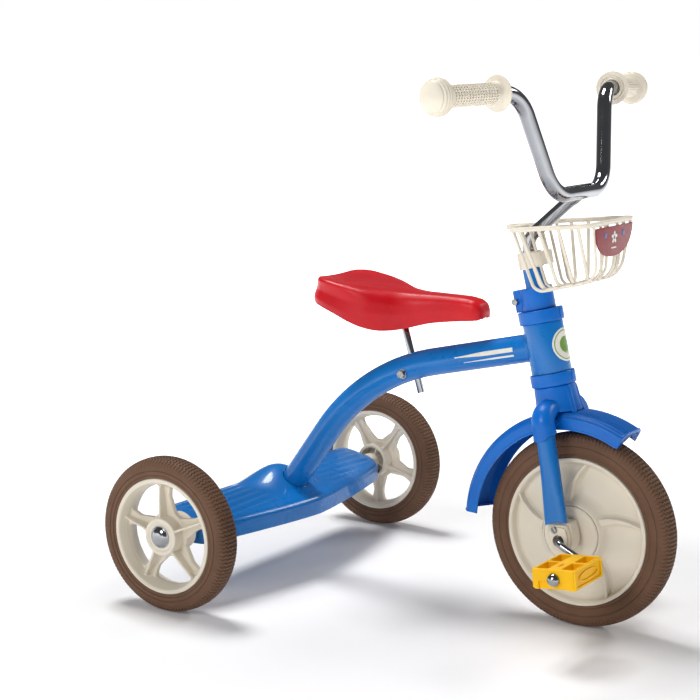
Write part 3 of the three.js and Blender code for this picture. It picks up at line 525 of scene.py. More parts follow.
def build_backbone():
    corners = [LOW_POINT + LOW_DIRECTION * 8, TUBE_CORNER, TUBE_CORNER + HIGH_DIRECTION * TUBE_REACH]
    path = rounded(corners, TUBE_BEND, 40)
    tube = sweep(path, ring_shape(64, TUBE_RADIUS), guide=(0, 1, 0))
    piece("backbone_tube_shell", [tube], TRIKE, "frame", "frame_paint", ["backbone_tube"])

    to_trike = np.array(TRIKE.inverted() @ STEER)
    axis_at, axis = to_trike[:3, 3], to_trike[:3, 2]
    normal = np.cross(HIGH_DIRECTION, (0, 1, 0))
    flat = lambda vector: vector - axis * (vector @ axis)
    bead = []
    for turn in np.arange(72) * 2 * math.pi / 72:
        around = math.cos(turn) * normal + np.array([0, math.sin(turn), 0])
        start = TUBE_CORNER + HIGH_DIRECTION * NECK_AT + TUBE_RADIUS * around
        offset, step = flat(start - axis_at), flat(HIGH_DIRECTION)
        a, b, c = step @ step, 2 * offset @ step, offset @ offset - HEAD_RADIUS ** 2
        bead.append(start + HIGH_DIRECTION * (-b - math.sqrt(b * b - 4 * a * c)) / (2 * a))
    weld = sweep(bead, ring_shape(12, 1.5), closed=True, guide=HIGH_DIRECTION)
    piece("head_weld_bead", [weld], TRIKE, "frame", "frame_paint")
    for k, (start, end, middle, width) in enumerate(((150, 236, 97, 5.5), (162, 236, 72, 2.4))):
        rings = []
        for at in np.linspace(start, end, 30):
            taper = smooth((at - start) / 50)
            half = math.radians(width / TUBE_RADIUS * 57.3 / 2) * (0.25 + 0.75 * float(taper))
            centre = TUBE_CORNER + HIGH_DIRECTION * at
            angles = np.linspace(-half, half, 8) + math.radians(middle)
            loop = [(a, TUBE_RADIUS + 0.22) for a in angles] + [(a, TUBE_RADIUS - 0.2) for a in angles[::-1]]
            rings.append([centre - r * np.array([math.cos(a) * normal[0], math.sin(a), math.cos(a) * normal[2]])
                          for a, r in loop])
        piece(f"tube_stripe_{k + 1}", [skin(rings)], TRIKE, "frame", "frame_paint", finish="label_trim")


def badge_disc(radius, lift, rim):
    """A thin disc wrapped round the front of the head tube."""
    levels = [(radius - rim, -0.4), (radius, -0.4), (radius, lift - 0.15), (radius - 0.3, lift)]
    levels += [(radius * share, lift) for share in (0.8, 0.6, 0.4, 0.2, 0.02)]
    if rim < radius:
        levels = levels[:4] + [(radius - rim, lift)]
    turn = np.arange(64) * 2 * math.pi / 64
    rings = []
    for size, rise in levels:
        angle = size * np.cos(turn) / HEAD_RADIUS
        reach = HEAD_RADIUS + rise
        rings.append(np.stack([reach * np.cos(angle), reach * np.sin(angle), 233 + size * np.sin(turn)], -1))
    return skin(rings, closed=rim < radius)


def build_head():
    shell = washer(HEAD_BORE, HEAD_RADIUS, HEAD_LOW, HEAD_HIGH, 0.5, 128, "z")
    piece("head_tube_shell", [shell], STEER, "frame", "frame_paint", ["head_tube"])
    piece("badge_plate", [badge_disc(21, 0.35, 21)], STEER, "frame", "label_red", finish="label_trim")
    piece("badge_ring", [badge_disc(18.6, 0.5, 1.2)], STEER, "frame", "label_red", finish="badge_green")
    piece("badge_centre", [badge_disc(10.5, 0.6, 10.5)], STEER, "frame", "label_red", finish="badge_green")
    for name, low, high in (("lower", 185, 201), ("upper", 264.8, 280.9)):
        ring = washer(STEERER_BORE, COLLAR_RADIUS, low, high, 1.4, 128, "z", 6)
        outward = Matrix(((0, 0, 1, COLLAR_RADIUS - 0.45), (1, 0, 0, 0), (0, 1, 0, 0), (0, 0, 0, 1)))
        tab = moved(plate([box(-4, 4, low + 2.2, high - 2.2, 2)], 0, 1.0, 0.5), outward)
        piece(f"collar_{name}_ring", [ring, tab], STEER, "frame", "blue_plastic", [f"headset_collar_{name}"])
    steerer = washer(8.6, 12.3, 166.4, 333, 0.5, 64, "z")
    piece("steerer_shell", [steerer], STEER, "steering", "frame_paint", ["steerer_tube"])


def build_seat_bolt():
    across = TRIKE @ Matrix.Translation((204, 0, 296)) @ AXIS_TO_Y
    head = [hexagon(5.6, -23, -18.4), washer(3, 6.6, -18.5, -17.4, axis="z"), rod(3, (0, 0, -20), (0, 0, 22.6), 24)]
    piece("seat_bolt_head", head, across, "frame", "zinc_steel", ["seat_bolt"])
    nut = [hexagon(5.6, 18.5, 22), washer(3, 6.6, 17.4, 18.5, axis="z")]
    piece("seat_bolt_hexnut", nut, across, "frame", "zinc_steel", ["seat_bolt_nut"])


# ---- rear deck ----
DECK_HALF, DECK_LOW, DECK_REAR, DECK_WALL = 212, 81, -54, 2.8
DECK_CORNER, DECK_ROLL = 10, 9


def deck_front(y):
    return lerp(63, 24, min(1, abs(y) / DECK_HALF) ** 1.35)


def deck_top(x, y):
    front = deck_front(y)
    along = (x - DECK_REAR) / (front - DECK_REAR)
    fall = 15 * np.maximum(0, (along - 0.25) / 0.75) ** 1.6 + 5 * (np.maximum(0, 0.25 - along) / 0.25) ** 2
    dome = 21 * smooth(1 - np.hypot((x + 8) / 62, y / 66))
    field = smooth((abs(y) - 52) / 30) * smooth((198 - abs(y)) / 14)
    field = field * smooth((x - DECK_REAR - 6) / 7) * smooth((front - 9 - x) / 7)
    ribs = 1.5 * (np.abs(np.sin((x - DECK_REAR) * math.pi / 13.5)) ** 1.5 - 0.55)
    return 120.5 - fall + dome + ribs * field


def deck_solid(inset, low, half, columns):
    """The deck's outer form, or a smaller one that hollows it."""
    rings = []
    bend = np.linspace(0, math.pi / 2, 7)
    straight = half - DECK_CORNER
    ends = straight + DECK_CORNER * np.sin(bend)
    stations = np.concatenate([-ends[::-1], np.linspace(-straight, straight, 119)[1:-1], ends])
    for y in stations:
        corner = DECK_CORNER - math.sqrt(max(0, DECK_CORNER ** 2 - max(0, abs(y) - straight) ** 2))
        front, rear = deck_front(y) - inset - corner, DECK_REAR + inset + corner
        share = np.linspace(0, 1, columns)
        share = lerp(share, 0.5 - 0.5 * np.cos(share * math.pi), 0.75)
        x = lerp(front, rear, share)
        edge = DECK_ROLL - inset * 0.6
        to_edge = np.minimum(front - x, x - rear)
        roll = edge - np.sqrt(np.maximum(0, edge ** 2 - np.maximum(0, edge - to_edge) ** 2))
        z = deck_top(x, y) - inset * 1.15 - roll - corner * 0.35
        top = np.stack([x, np.full(columns, y), z], -1)
        walls = [np.array([[at, y, h] for h in np.linspace(low, z[k], 6)[:-1]])
                 for at, k in ((front, 0), (rear, -1))]
        rings.append(np.vstack([walls[0], top, walls[1][::-1]]))
    return skin(rings)


def build_deck():
    """The pressed step plate over the rear axle, with the axle, its sleeve and its spacers."""
    outer = deck_solid(0, DECK_LOW, DECK_HALF, 120)
    inner = deck_solid(DECK_WALL, DECK_LOW - 6, DECK_HALF - DECK_WALL, 60)
    tube_hole = rod(TUBE_RADIUS + 2.0, LOW_POINT + LOW_DIRECTION * 4, LOW_POINT + LOW_DIRECTION * 90, 64)
    sleeve_hole = rod(9.5, (0, -230, AXLE_HEIGHT), (0, 230, AXLE_HEIGHT), 32)
    shell = without(without(without(outer, inner), tube_hole), sleeve_hole)
    piece("rear_deck_shell", [shell], TRIKE, "frame", "frame_paint", ["rear_deck"], sharp=50)
    axle = TRIKE @ Matrix.Translation((0, 0, AXLE_HEIGHT))
    piece("axle_rod", [rod(5, (0, -271, 0), (0, 271, 0), 32)], axle, "frame", "zinc_steel", ["rear_axle"])
    piece("axle_sleeve_tube", [washer(5.4, 8.6, -208, 208, 0.4)], axle, "frame", "zinc_steel", ["axle_sleeve"])
    for side, sign in SIDES:
        profile = [(5.4, 208.6), (9.1, 208.6), (9.1, 212.3), (12, 212.3), (12, 225.7), (5.4, 225.7)]
        rings = lathe(turned(profile, 0.5), 64)
        piece(f"spacer_{side}", [rings], facing(axle, sign), "frame", "cream_plastic", [f"axle_spacer_{side}"])


# ---- wheels ----
TREAD_PITCH, TREAD_DEPTH, SHOULDER = 5.2, 1.35, 17.7
REAR_RIM, FRONT_RIM, SPOKES = 75.5, 94.3, 5


def tyre(radius, half_width, rim_radius):
    """A tyre with a herringbone tread; each tread block is four columns round and slants from row to row."""
    # y, drop below the crown, depth of the grooves, slant of the blocks
    half = [(0, 0, 1, 0), (1.3, 0.03, 1, 1.1), (2.6, 0.07, 1, 2.2), (3.9, 0.14, 1, 1.1), (5.2, 0.25, 1, 0),
            (6.5, 0.42, 1, 1.1), (7.8, 0.68, 1, 2.2), (9.1, 1.0, 1, 1.1), (10.4, 1.45, 1, 0), (11.7, 2.05, 1, 1.1),
            (13, 2.8, 1, 2.2), (14.2, 3.8, 1, 1.3), (15.2, 5.0, 0.95, 0.6), (16.1, 6.7, 0.85, 0.8),
            (16.8, 8.4, 0.6, 1.0), (17.3, 10.4, 0.25, 1.0), (17.6, 12.6, 0, 1.0), (17.7, 14.6, 0, 1),
            (17.62, 15.1, 0, 1), (17.0, 15.5, 0, 1),
            (17.0, 16.1, 0, 1), (17.6, 16.5, 0, 1), (17.7, 18.2, 0, 1), (17.7, 20.4, 0, 1)]
    wall = radius - rim_radius
    half += [(17.6, wall - 5.4, 0, 1), (17.3, wall - 5.0, 0, 1), (16.9, wall - 4.6, 0, 1), (17.0, wall - 3.8, 0, 1),
             (17.4, wall - 3.2, 0, 1), (17.5, wall - 1.6, 0, 1), (17.1, wall - 0.5, 0, 1), (16.6, wall - 0.3, 0, 1),
             (8.3, wall - 0.3, 0, 1), (8.3, wall - 4.3, 0, 1)]
    rows = [(-y, *rest) for y, *rest in half[:0:-1]] + half
    blocks = round(2 * math.pi * radius / TREAD_PITCH)
    phases, depths = np.array([0.0, 0.56, 0.68, 0.88]), np.array([0, 0, 1, 1])
    place = (np.arange(blocks)[:, None] + phases).ravel()
    sunk = np.tile(depths, blocks)
    rings = []
    for y, drop, groove, slant in rows:
        turn = 2 * math.pi * place / blocks + slant / radius
        r = radius - drop - TREAD_DEPTH * groove * sunk
        rings.append(ring_about_y(r, y * half_width / SHOULDER, turn))
    return skin(rings, closed=True)


def arc(radius, start, end, count):
    turn = np.linspace(start, end, count)
    return np.stack([np.cos(turn) * radius, np.sin(turn) * radius], -1)


def wheel_window(turn):
    """A rounded opening between two spokes, wide at the rim and pointed at the hub."""
    polar = [(50, -0.485)] + [(65.5, a) for a in np.linspace(-0.47, 0.47, 9)]
    polar += [(50, 0.485), (29.5, 0.16), (29.5, -0.16)]
    corner = [14] + [9] + [0] * 7 + [9] + [14, 3, 3]
    return rounded([(r * math.cos(a + turn), r * math.sin(a + turn)) for r, a in polar], corner, 5, closed=True)


def rear_wheel(first_window):
    """A moulded five-spoke wheel with a fin along each spoke; the angle is in degrees."""
    rim = lathe([(75.5, -17.4), (74.5, -17.6), (71, -17.4), (69.6, -16.4), (66.2, -6), (65.8, 0), (66.2, 6),
                 (69.6, 17.2), (71, 18.4), (74.5, 18.5), (75.5, 18.2), (75.5, 8), (78.5, 7), (78.5, -7),
                 (75.5, -8)], 180)
    hub = lathe([(8, -23.6), (11, -23.8), (11, -4), (20, -4), (20.3, -23.6), (24.2, -23.8), (24.8, -23), (24.5, 19),
                 (23.6, 20), (19.4, 20), (18.6, 18.6), (17.4, 18.6), (17, 19.4), (13.6, 19.4), (13, 18), (8, 18)], 120)
    windows = [wheel_window(math.radians(first_window + 72 * k)) for k in range(SPOKES)]
    web = plate([ring_shape(120, 69)] + windows, -4.8, 2.8, 1.0)
    parts = [rim, hub, moved(web, AXIS_TO_Y)]
    outside = np.array([(23, 18), (30, 17), (40, 15.4), (52, 13.8), (62, 12.2), (68, 10), (68, 0), (23, 0)])
    inside = np.array([(23, 0), (68, 0), (68, -8), (56, -9), (40, -12), (23, -19)])
    for k in range(SPOKES):
        fin = Matrix.Rotation(math.radians(first_window + 36 + 72 * k), 4, "Y")
        for outline in (outside, inside):
            blade = plate([rounded(outline, 3, 3, closed=True)], -1.5, 1.5, 0.5)
            parts.append(moved(blade, fin))
    for k in range(4):
        cross = plate([[(9, -22), (22, -22), (22, -3), (9, -3)]], -1.0, 1.0, 0.3)
        parts.append(moved(cross, Matrix.Rotation(math.radians(20 + 90 * k), 4, "Y")))
    return fused(parts, 0.85, 5)


def build_rear_wheels():
    for side, sign in SIDES:
        matrix = facing(frame_matrix(REAR_AT[side]), sign)
        body = f"{side}_rear_wheel"
        piece(f"tyre_rear_{side}", [tyre(AXLE_HEIGHT, 17.8, REAR_RIM)], matrix, body, "tyre", [f"rear_tyre_{side}"])
        wheel = rear_wheel(60 if sign < 0 else 54)
        piece(f"wheel_rear_{side}", [wheel], matrix, body, "cream_plastic", [f"rear_wheel_{side}"], sharp=60)
        piece(f"bush_rear_{side}", [washer(5.3, 7.2, -23.6, 20)], matrix, body, "zinc_steel", [f"rear_bush_{side}"])
        dome = [(0, 25.3), (3.2, 25.2), (6.4, 24.8), (9.2, 23.8), (11.4, 22.3), (12.6, 20.9), (13.6, 20.5),
                (14.6, 20.4), (14.6, 19.8), (5.4, 19.8), (0, 21)]
        cap = lathe(rounded(dome, [0] + [1.5] * 8 + [0, 0], 4, closed=True), 96)
        piece(f"hub_cap_rear_{side}", [cap], matrix, body, "chrome", [f"rear_hub_cap_{side}"], sharp=60)


def front_half():
    """Half of the front wheel: a dished disc whose outer face carries five curved blades."""
    face = [(37.5, 31.7), (38.6, 31.2), (41, 28.2), (45, 22), (50, 17.6), (58, 14.4), (70, 12), (81, 10.4), (85, 10.6),
            (87.4, 13), (88.6, 17.5), (90, 19.6), (91.5, 20)]
    r_face = np.concatenate([np.linspace(37.5, 45, 12)[:-1], np.linspace(45, 84, 44)[:-1], np.linspace(84, 91.5, 14)])
    h_face = table(face, r_face)[:, 0]
    rest = rounded([(91.5, 20), (FRONT_RIM, 20), (FRONT_RIM, 8), (98.3, 8), (98.3, 0.2), (93, 0.2), (84, 6), (45, 12),
                    (40, 0.2),
                    (7, 0.2), (7, 29.6), (37.3, 29.6), (37.5, 31.7)], [0, 1] + [0.4] * 8 + [0.2, 0.2, 0], 4)
    crest = [(33, 31), (42, 28.6), (55, 25.2), (70, 22.2), (84, 20), (90, 18)]
    columns = np.arange(900) * 2 * math.pi / 900
    rings = []
    for r, h, top in zip(r_face, h_face, table(crest, r_face)[:, 0]):
        t = float(np.clip((r - 33) / 56, 0, 1))
        reach = np.full(len(columns), 99.0)
        for k in range(SPOKES):
            middle = math.radians(-30 - 72 * k) + 0.33 * t ** 1.35
            gap = (columns - middle + math.pi) % (2 * math.pi) - math.pi
            reach = np.minimum(reach, np.abs(gap) * r)
        half = lerp(5.2, 1.5, t ** 0.8)
        wall = smooth((half + 1.3 - reach) / 1.5)
        foot = 2.2 * smooth((half + 5 - reach) / 5) * float(smooth((86 - r) / 6))
        crown = -0.5 * np.clip(reach / half, 0, 1) ** 2
        y = np.maximum(h + foot, lerp(h, top + crown, wall)) if top > h else h
        rings.append(ring_about_y(r, y, columns))
    return skin(rings + [ring_about_y(r, h, columns) for r, h in rest[1:-1]], closed=True)


CRANK_TURN, CRANK_THROW, CRANK_RADIUS = math.radians(-25), 44, 4.2


def crank_point(distance, y):
    return (math.cos(CRANK_TURN) * distance, y, math.sin(CRANK_TURN) * distance)


def build_front_wheel():
    matrix = frame_matrix(FRONT_AT)
    piece("tyre_front", [tyre(FRONT_HEIGHT, 17.5, FRONT_RIM)], matrix, "front_wheel", "tyre", ["front_tyre"])
    half = front_half()
    profile = [(4.6, 29.8), (36.6, 29.8), (36.6, 32.4), (35, 33.6), (30, 34.6), (12, 35.2), (4.6, 35.4)]
    cover = lathe(turned(profile, 0.5), 128)
    for side, sign in SIDES:
        turned_to = facing(matrix, sign)
        piece(f"wheel_front_{side}", [half], turned_to, "front_wheel", "cream_plastic",
              [f"front_wheel_half_{side}"], sharp=60)
        piece(f"hub_cover_{side}", [cover], turned_to, "front_wheel", "cream_plastic", [f"front_hub_cover_{side}"])
    corners = [crank_point(distance, y) for distance, y in (
        (CRANK_THROW, -153), (CRANK_THROW, -73), (0, -73), (0, 73), (-CRANK_THROW, 73), (-CRANK_THROW, 153))]
    axle = sweep(dense(rounded(corners, 10, 14), 6), ring_shape(32, CRANK_RADIUS))
    piece("crank_rod", [axle], matrix, "front_wheel", "chrome", ["crank_axle"])


# ---- pedals ----
def pedal(sign):
    """A hollow block with four wells, a framed oval on its front and rear, and a recess in its outer end."""
    length, inner, outer, height = 28.5, 83, 156, 12.4
    wall, hub = 4.2, 8.4
    middle = (inner + outer) / 2
    wells = [box(x0, x1, y0, y1, 1.6)
             for x0, x1 in ((-length + wall, -hub), (hub, length - wall))
             for y0, y1 in ((inner + wall, middle - wall / 2), (middle + wall / 2, outer - wall))]
    shell = plate([box(-length + 1.8, length - 1.8, inner, outer, 2.2)] + wells, -height, height, 0.8)
    shell = without(shell, plate([box(-20.5, 20.5, outer - 3.4, outer + 3, 0.6)], -height - 3, -2.4, 0.3))
    shell = without(shell, plate([box(-1.4, 1.4, middle + 8, middle + 22, 1.2)], height - 2.2, height + 3, 0.2))
    parts = [shell]
    border = [box(inner + 1, outer - 1, -height + 0.8, height - 0.8, 2),
              box(inner + 4.6, outer - 4.6, -height + 3.6, height - 3.6, 2)]
    oval = [ring_shape(48, a, b) + np.array([middle, 0]) for a, b in ((25, 6.6), (22.2, 4.2))]
    for end in (-1, 1):
        outward = Matrix(((0, 0, end, 0), (1, 0, 0, 0), (0, 1, 0, 0), (0, 0, 0, 1)))
        parts.append(moved(plate(border, length - 2.6, length, 0.4), outward))
        parts.append(moved(plate(oval, length - 2.6, length - 0.1, 0.4), outward))
    return [moved(part, Matrix.Scale(sign, 4, (0, 1, 0))) for part in parts]


def build_pedals():
    for side, sign in SIDES:
        matrix = frame_matrix(PEDAL_AT[side]) @ Matrix.Rotation(math.radians(-6), 4, "Y")
        matrix = matrix @ Matrix.Translation((0, -PEDAL_AT[side].y / MM, 0))
        body = f"{side}_pedal"
        piece(f"pedal_{side}_body", pedal(sign), matrix, body, "yellow_plastic", [f"pedal_{side}"], sharp=45)
        profile = [(0, 163.2), (2.4, 163), (4.8, 162), (6.7, 160.3), (7.8, 158.2), (8.1, 156.4), (8.1, 155), (0, 155)]
        cap = lathe(rounded(profile, [0, 2, 2, 2, 2, 1, 0, 0], 4, closed=True), 80)
        piece(f"pedal_{side}_ball", [cap], facing(matrix, sign), body, "chrome", [f"pedal_cap_{side}"], sharp=60)


# ---- fork ----
GUARD_RADIUS, GUARD_SHIFT, GUARD_ARC, EDGE_BEAD = 151.5, -6, 116, 1.6    # the last two in degrees along it
LEAN = math.atan2(-STEER_W.x, STEER_W.z)
GUARD_U, GUARD_W = GUARD_SHIFT * math.cos(LEAN), -GUARD_SHIFT * math.sin(LEAN)
LEG_LOW, SOCKET_LOW, LEG_HIGH = 22.3, 123, 138
LEG_OUT, SOCKET_OUT = 58, 48.5


def leg_centre(w):
    return lerp(LEG_OUT, SOCKET_OUT, (w - LEG_LOW) / (SOCKET_LOW - LEG_LOW))


def build_crown():
    """The moulded fork crown: a neck with an arm to each leg, shaped to the mudguard."""
    guard = rod(GUARD_RADIUS + 0.6, (GUARD_U, -29.6, GUARD_W), (GUARD_U, 29.6, GUARD_W), 120)
    neck = lathe([(0, 138), (33.5, 138), (31.4, 143), (29.6, 150), (28.2, 158), (27.2, 168), (26.6, 178),
                  (26.4, 183.4), (25.6, 184.6), (0, 184.6)], 96, "z")
    parts = [without(neck, guard)]
    for _, sign in SIDES:
        corners = [(0, 0, 157), (0, sign * SOCKET_OUT, 157), (0, sign * SOCKET_OUT, SOCKET_LOW)]
        path = dense(rounded(corners, 33, 12), 3)
        share = np.linspace(0, 1, len(path))
        flare = 1 + 0.035 * smooth((share - 0.9) / 0.1)
        section = np.array([ring_shape(40, lerp(12.4, 12.8, t) * f, lerp(13.2, 15, t) * f, 2.15)
                            for t, f in zip(share, flare)])
        points, faces = sweep(path, section, guide=(1, 0, 0))
        low = points[:, 2] < 136
        lift = (136 - points[:, 2]) / 13 * 6.5 * smooth((points[:, 0] - 2) / 12)
        points[:, 2] += np.where(low, lift, 0)
        parts.append(without((points, faces), guard))
    for turn in (-24, 24):
        a = math.radians(turn)
        band = [(math.cos(a) * reach, math.sin(a) * reach, w)
                for reach, w in ((30.6, 147), (28.9, 155), (27.5, 166), (26.7, 176), (25.9, 182))]
        parts.append(sweep(band, ring_shape(16, 1.6, 3.2), guide=(math.sin(a), -math.cos(a), 0)))
    return fused(parts, 0.85, 9)


def fork_leg(sign):
    """A flattened tube that widens toward the wheel's axle."""
    # w, shift along u, half-width, half-thickness
    stations = [(LEG_LOW, -3, 15, 5.5), (40, -2, 14.4, 6.5), (62, -1, 13.4, 7.8), (90, 0, 12.2, 9),
                (LEG_HIGH, 0, 11.4, 9.6)]
    heights = np.linspace(LEG_LOW, LEG_HIGH, 70)
    rings = []
    for w, (u, half_u, half_v) in zip(heights, table(stations, heights)):
        oval = ring_shape(64, half_u, half_v, 2.5)
        sag = 3.2 * (oval[:, 0] / half_u) ** 2 * float(smooth((40 - w) / 18))
        rings.append(np.column_stack([oval[:, 0] + u, oval[:, 1] + sign * leg_centre(w), w + 0.6 - sag]))
    return skin(rings)


def quadratic(start, control, end, count=12):
    t = np.linspace(0, 1, count, endpoint=False)[:, None]
    return (1 - t) ** 2 * np.array(start) + 2 * t * (1 - t) * np.array(control) + t ** 2 * np.array(end)


def block_outline(scale):
    half, top, low = 18 * scale, 21.6 * scale, -17 * scale
    points = [(-half + 3, top - 3), (half - 3, top - 3), (half - 7, low + 4), (-half + 7, low + 4)]
    controls = [(0, top + 3), (half + 1, 0), (0, low - 3), (-half - 1, 0)]
    sides = [quadratic(points[k], controls[k], points[(k + 1) % 4]) for k in range(4)]
    return rounded(np.vstack(sides), 0.4, 2, closed=True)


def bearing_block():
    """The stepped block at a leg's lower end, as plates stacked outward."""
    hole = disc(7.4, 48)
    steps = ((1.0, 38, 57.5, 1.0), (0.9, 56.8, 63, 1.0), (0.78, 62.2, 66, 0.9))
    layers = [plate([block_outline(scale), hole], low, high, edge) for scale, low, high, edge in steps]
    ridge = [block_outline(0.86) * shrink for shrink in (1, 0.94)]
    return layers + [plate(ridge, 62.4, 64, 0.35), plate([disc(9.4, 64), hole], 65.2, 66.9, 0.5)]


def build_fork():
    piece("crown_moulding", [build_crown()], STEER, "steering", "blue_plastic", ["fork_crown"], sharp=70)
    for side, sign in SIDES:
        piece(f"leg_{side}", [fork_leg(sign)], STEER, "steering", "frame_paint", [f"fork_leg_{side}"], sharp=50)
        mirror = STEER @ Matrix.Scale(sign, 4, (0, 1, 0))
        upright = Matrix(((1, 0, 0, 0), (0, 0, 1, 0), (0, 1, 0, 0), (0, 0, 0, 1)))
        blocks = [moved(layer, upright) for layer in bearing_block()]
        piece(f"block_{side}", blocks, mirror, "steering", "cream_plastic", [f"bearing_block_{side}"], sharp=45)
        piece(f"bush_crank_{side}", [washer(4.5, 7.1, 39, 60)], facing(STEER, sign), "steering", "zinc_steel",
              [f"crank_bush_{side}"])
        head = lathe(turned([(0, 64), (4.2, 64), (4.2, 67.2), (3.2, 68.4), (0, 68.8)], 0.5), 48, "z")
        slot = plate([box(-0.55, 0.55, -5, 5, 0.1, 2)], 67.3, 70, 0.1)
        screw = moved(without(head, moved(slot, Matrix.Rotation(0.6, 4, "Z"))), upright)
        piece(f"screw_block_{side}", [screw], mirror @ Matrix.Translation((-3, 0, 14)), "steering", "zinc_steel",
              [f"block_screw_{side}"])


def build_mudguard():
    outer = [(28.4, -21), (28.5, -19.2), (27.8, -18.2), (27.7, -8.6), (27.2, -7), (25.6, -4.7), (24.9, -5.9),
             (24.1, -3.8), (21.9, -2.1), (21.1, -3.4), (20.3, -1.3), (15.2, -0.3), (14.4, -1.7), (13.6, -0.1), (6, 0),
             (0, 0)]
    inner = [(26.2, -21), (25.9, -9), (24.2, -7.6), (20, -5), (13, -3.6), (0, -2.8)]
    mirrored = lambda rows: [(-v, rise) for v, rise in rows[:-1]][::-1]
    outer = rounded(outer + mirrored(outer), 0.5, 3)
    inner = rounded(inner + mirrored(inner), 2, 3)
    section = np.vstack([outer, inner[::-1]])
    skirt = len(outer)
    edge_zone = np.linspace(0, EDGE_BEAD, 9)[:-1]
    between = np.linspace(EDGE_BEAD, GUARD_ARC - EDGE_BEAD, 100)
    places = np.concatenate([edge_zone, between, GUARD_ARC - edge_zone[::-1]])
    rings = []
    for at in places:
        turn = math.radians(62 + at) - LEAN
        end = min(at, GUARD_ARC - at)
        bead = 1.1 * float(smooth((EDGE_BEAD - end) / 1.2)) * (1 - float(smooth((0.25 - end) / 0.25)) * 0.6)
        reach = GUARD_RADIUS + section[:, 1]
        reach[:skirt] += bead
        rings.append(np.column_stack([GUARD_U + math.cos(turn) * reach, section[:, 0],
                                      GUARD_W + math.sin(turn) * reach]))
    piece("mudguard_shell", [skin(rings)], STEER, "steering", "blue_plastic", ["mudguard"], sharp=50)
    screw = lathe(turned([(0, 146), (4.6, 146.4), (5, 148.6), (2.3, 149.2), (2.3, 162), (0, 162)], 0.4), 40, "z")
    piece("screw_mudguard", [screw], STEER, "steering", "zinc_steel", ["mudguard_screw"])


def build_clamp():
    low, high, ear, half = 281.4, 309.4, 30, 9
    start = math.pi - math.asin(half / 20.7)
    outer = arc(20.7, start, -start, 60)
    bore = arc(STEERER_BORE, -math.pi + 0.1, math.pi - 0.1, 60)
    outline = [(-ear, 1.2), (-ear, half), *outer, (-ear, -half), (-ear, -1.2), *bore]
    radii = [0.6, 3.4, 2.5] + [0] * (len(outer) - 2) + [2.5, 3.4, 0.6] + [0] * len(bore)
    block = plate([rounded(outline, radii, 5, closed=True)], low, high, 1.3, 4)
    piece("clamp_block", [block], STEER, "steering", "blue_plastic", ["steering_clamp"], sharp=45)
    across = STEER @ Matrix.Translation((-27, 0, (low + high) / 2)) @ AXIS_TO_Y
    head = [hexagon(4.6, 9.3, 13), rod(2.4, (0, 0, -12), (0, 0, 11), 24)]
    piece("clamp_bolt_head", head, across, "steering", "zinc_steel", ["clamp_bolt"])
    piece("clamp_hexnut", [hexagon(4.6, -13, -9.3)], across, "steering", "zinc_steel", ["clamp_nut"])


# ---- handlebar ----
BAR_LOW, BAR_TOP = np.array([83.5, 66.9, 413.5]), np.array([89.2, 114.2, 538.7])
KNOB, STEM_CORNER = np.array([61.7, 257.6, 542.2]), np.array([0, 0, 369.4])
BAR_RADIUS, STEM_RADIUS = 9.5, 8
GRIP_RADIUS, PIT_ROWS, PITS_ROUND, PIT_DEPTH = 12.8, 17, 24, 1.5
KNOB_START, GRIP_END = 132.4, 160


def mirrored_point(point, sign):
    return point * np.array([1, sign, 1])


def grip_direction(sign):
    span = mirrored_point(KNOB - BAR_TOP, sign)
    return span / np.linalg.norm(span)


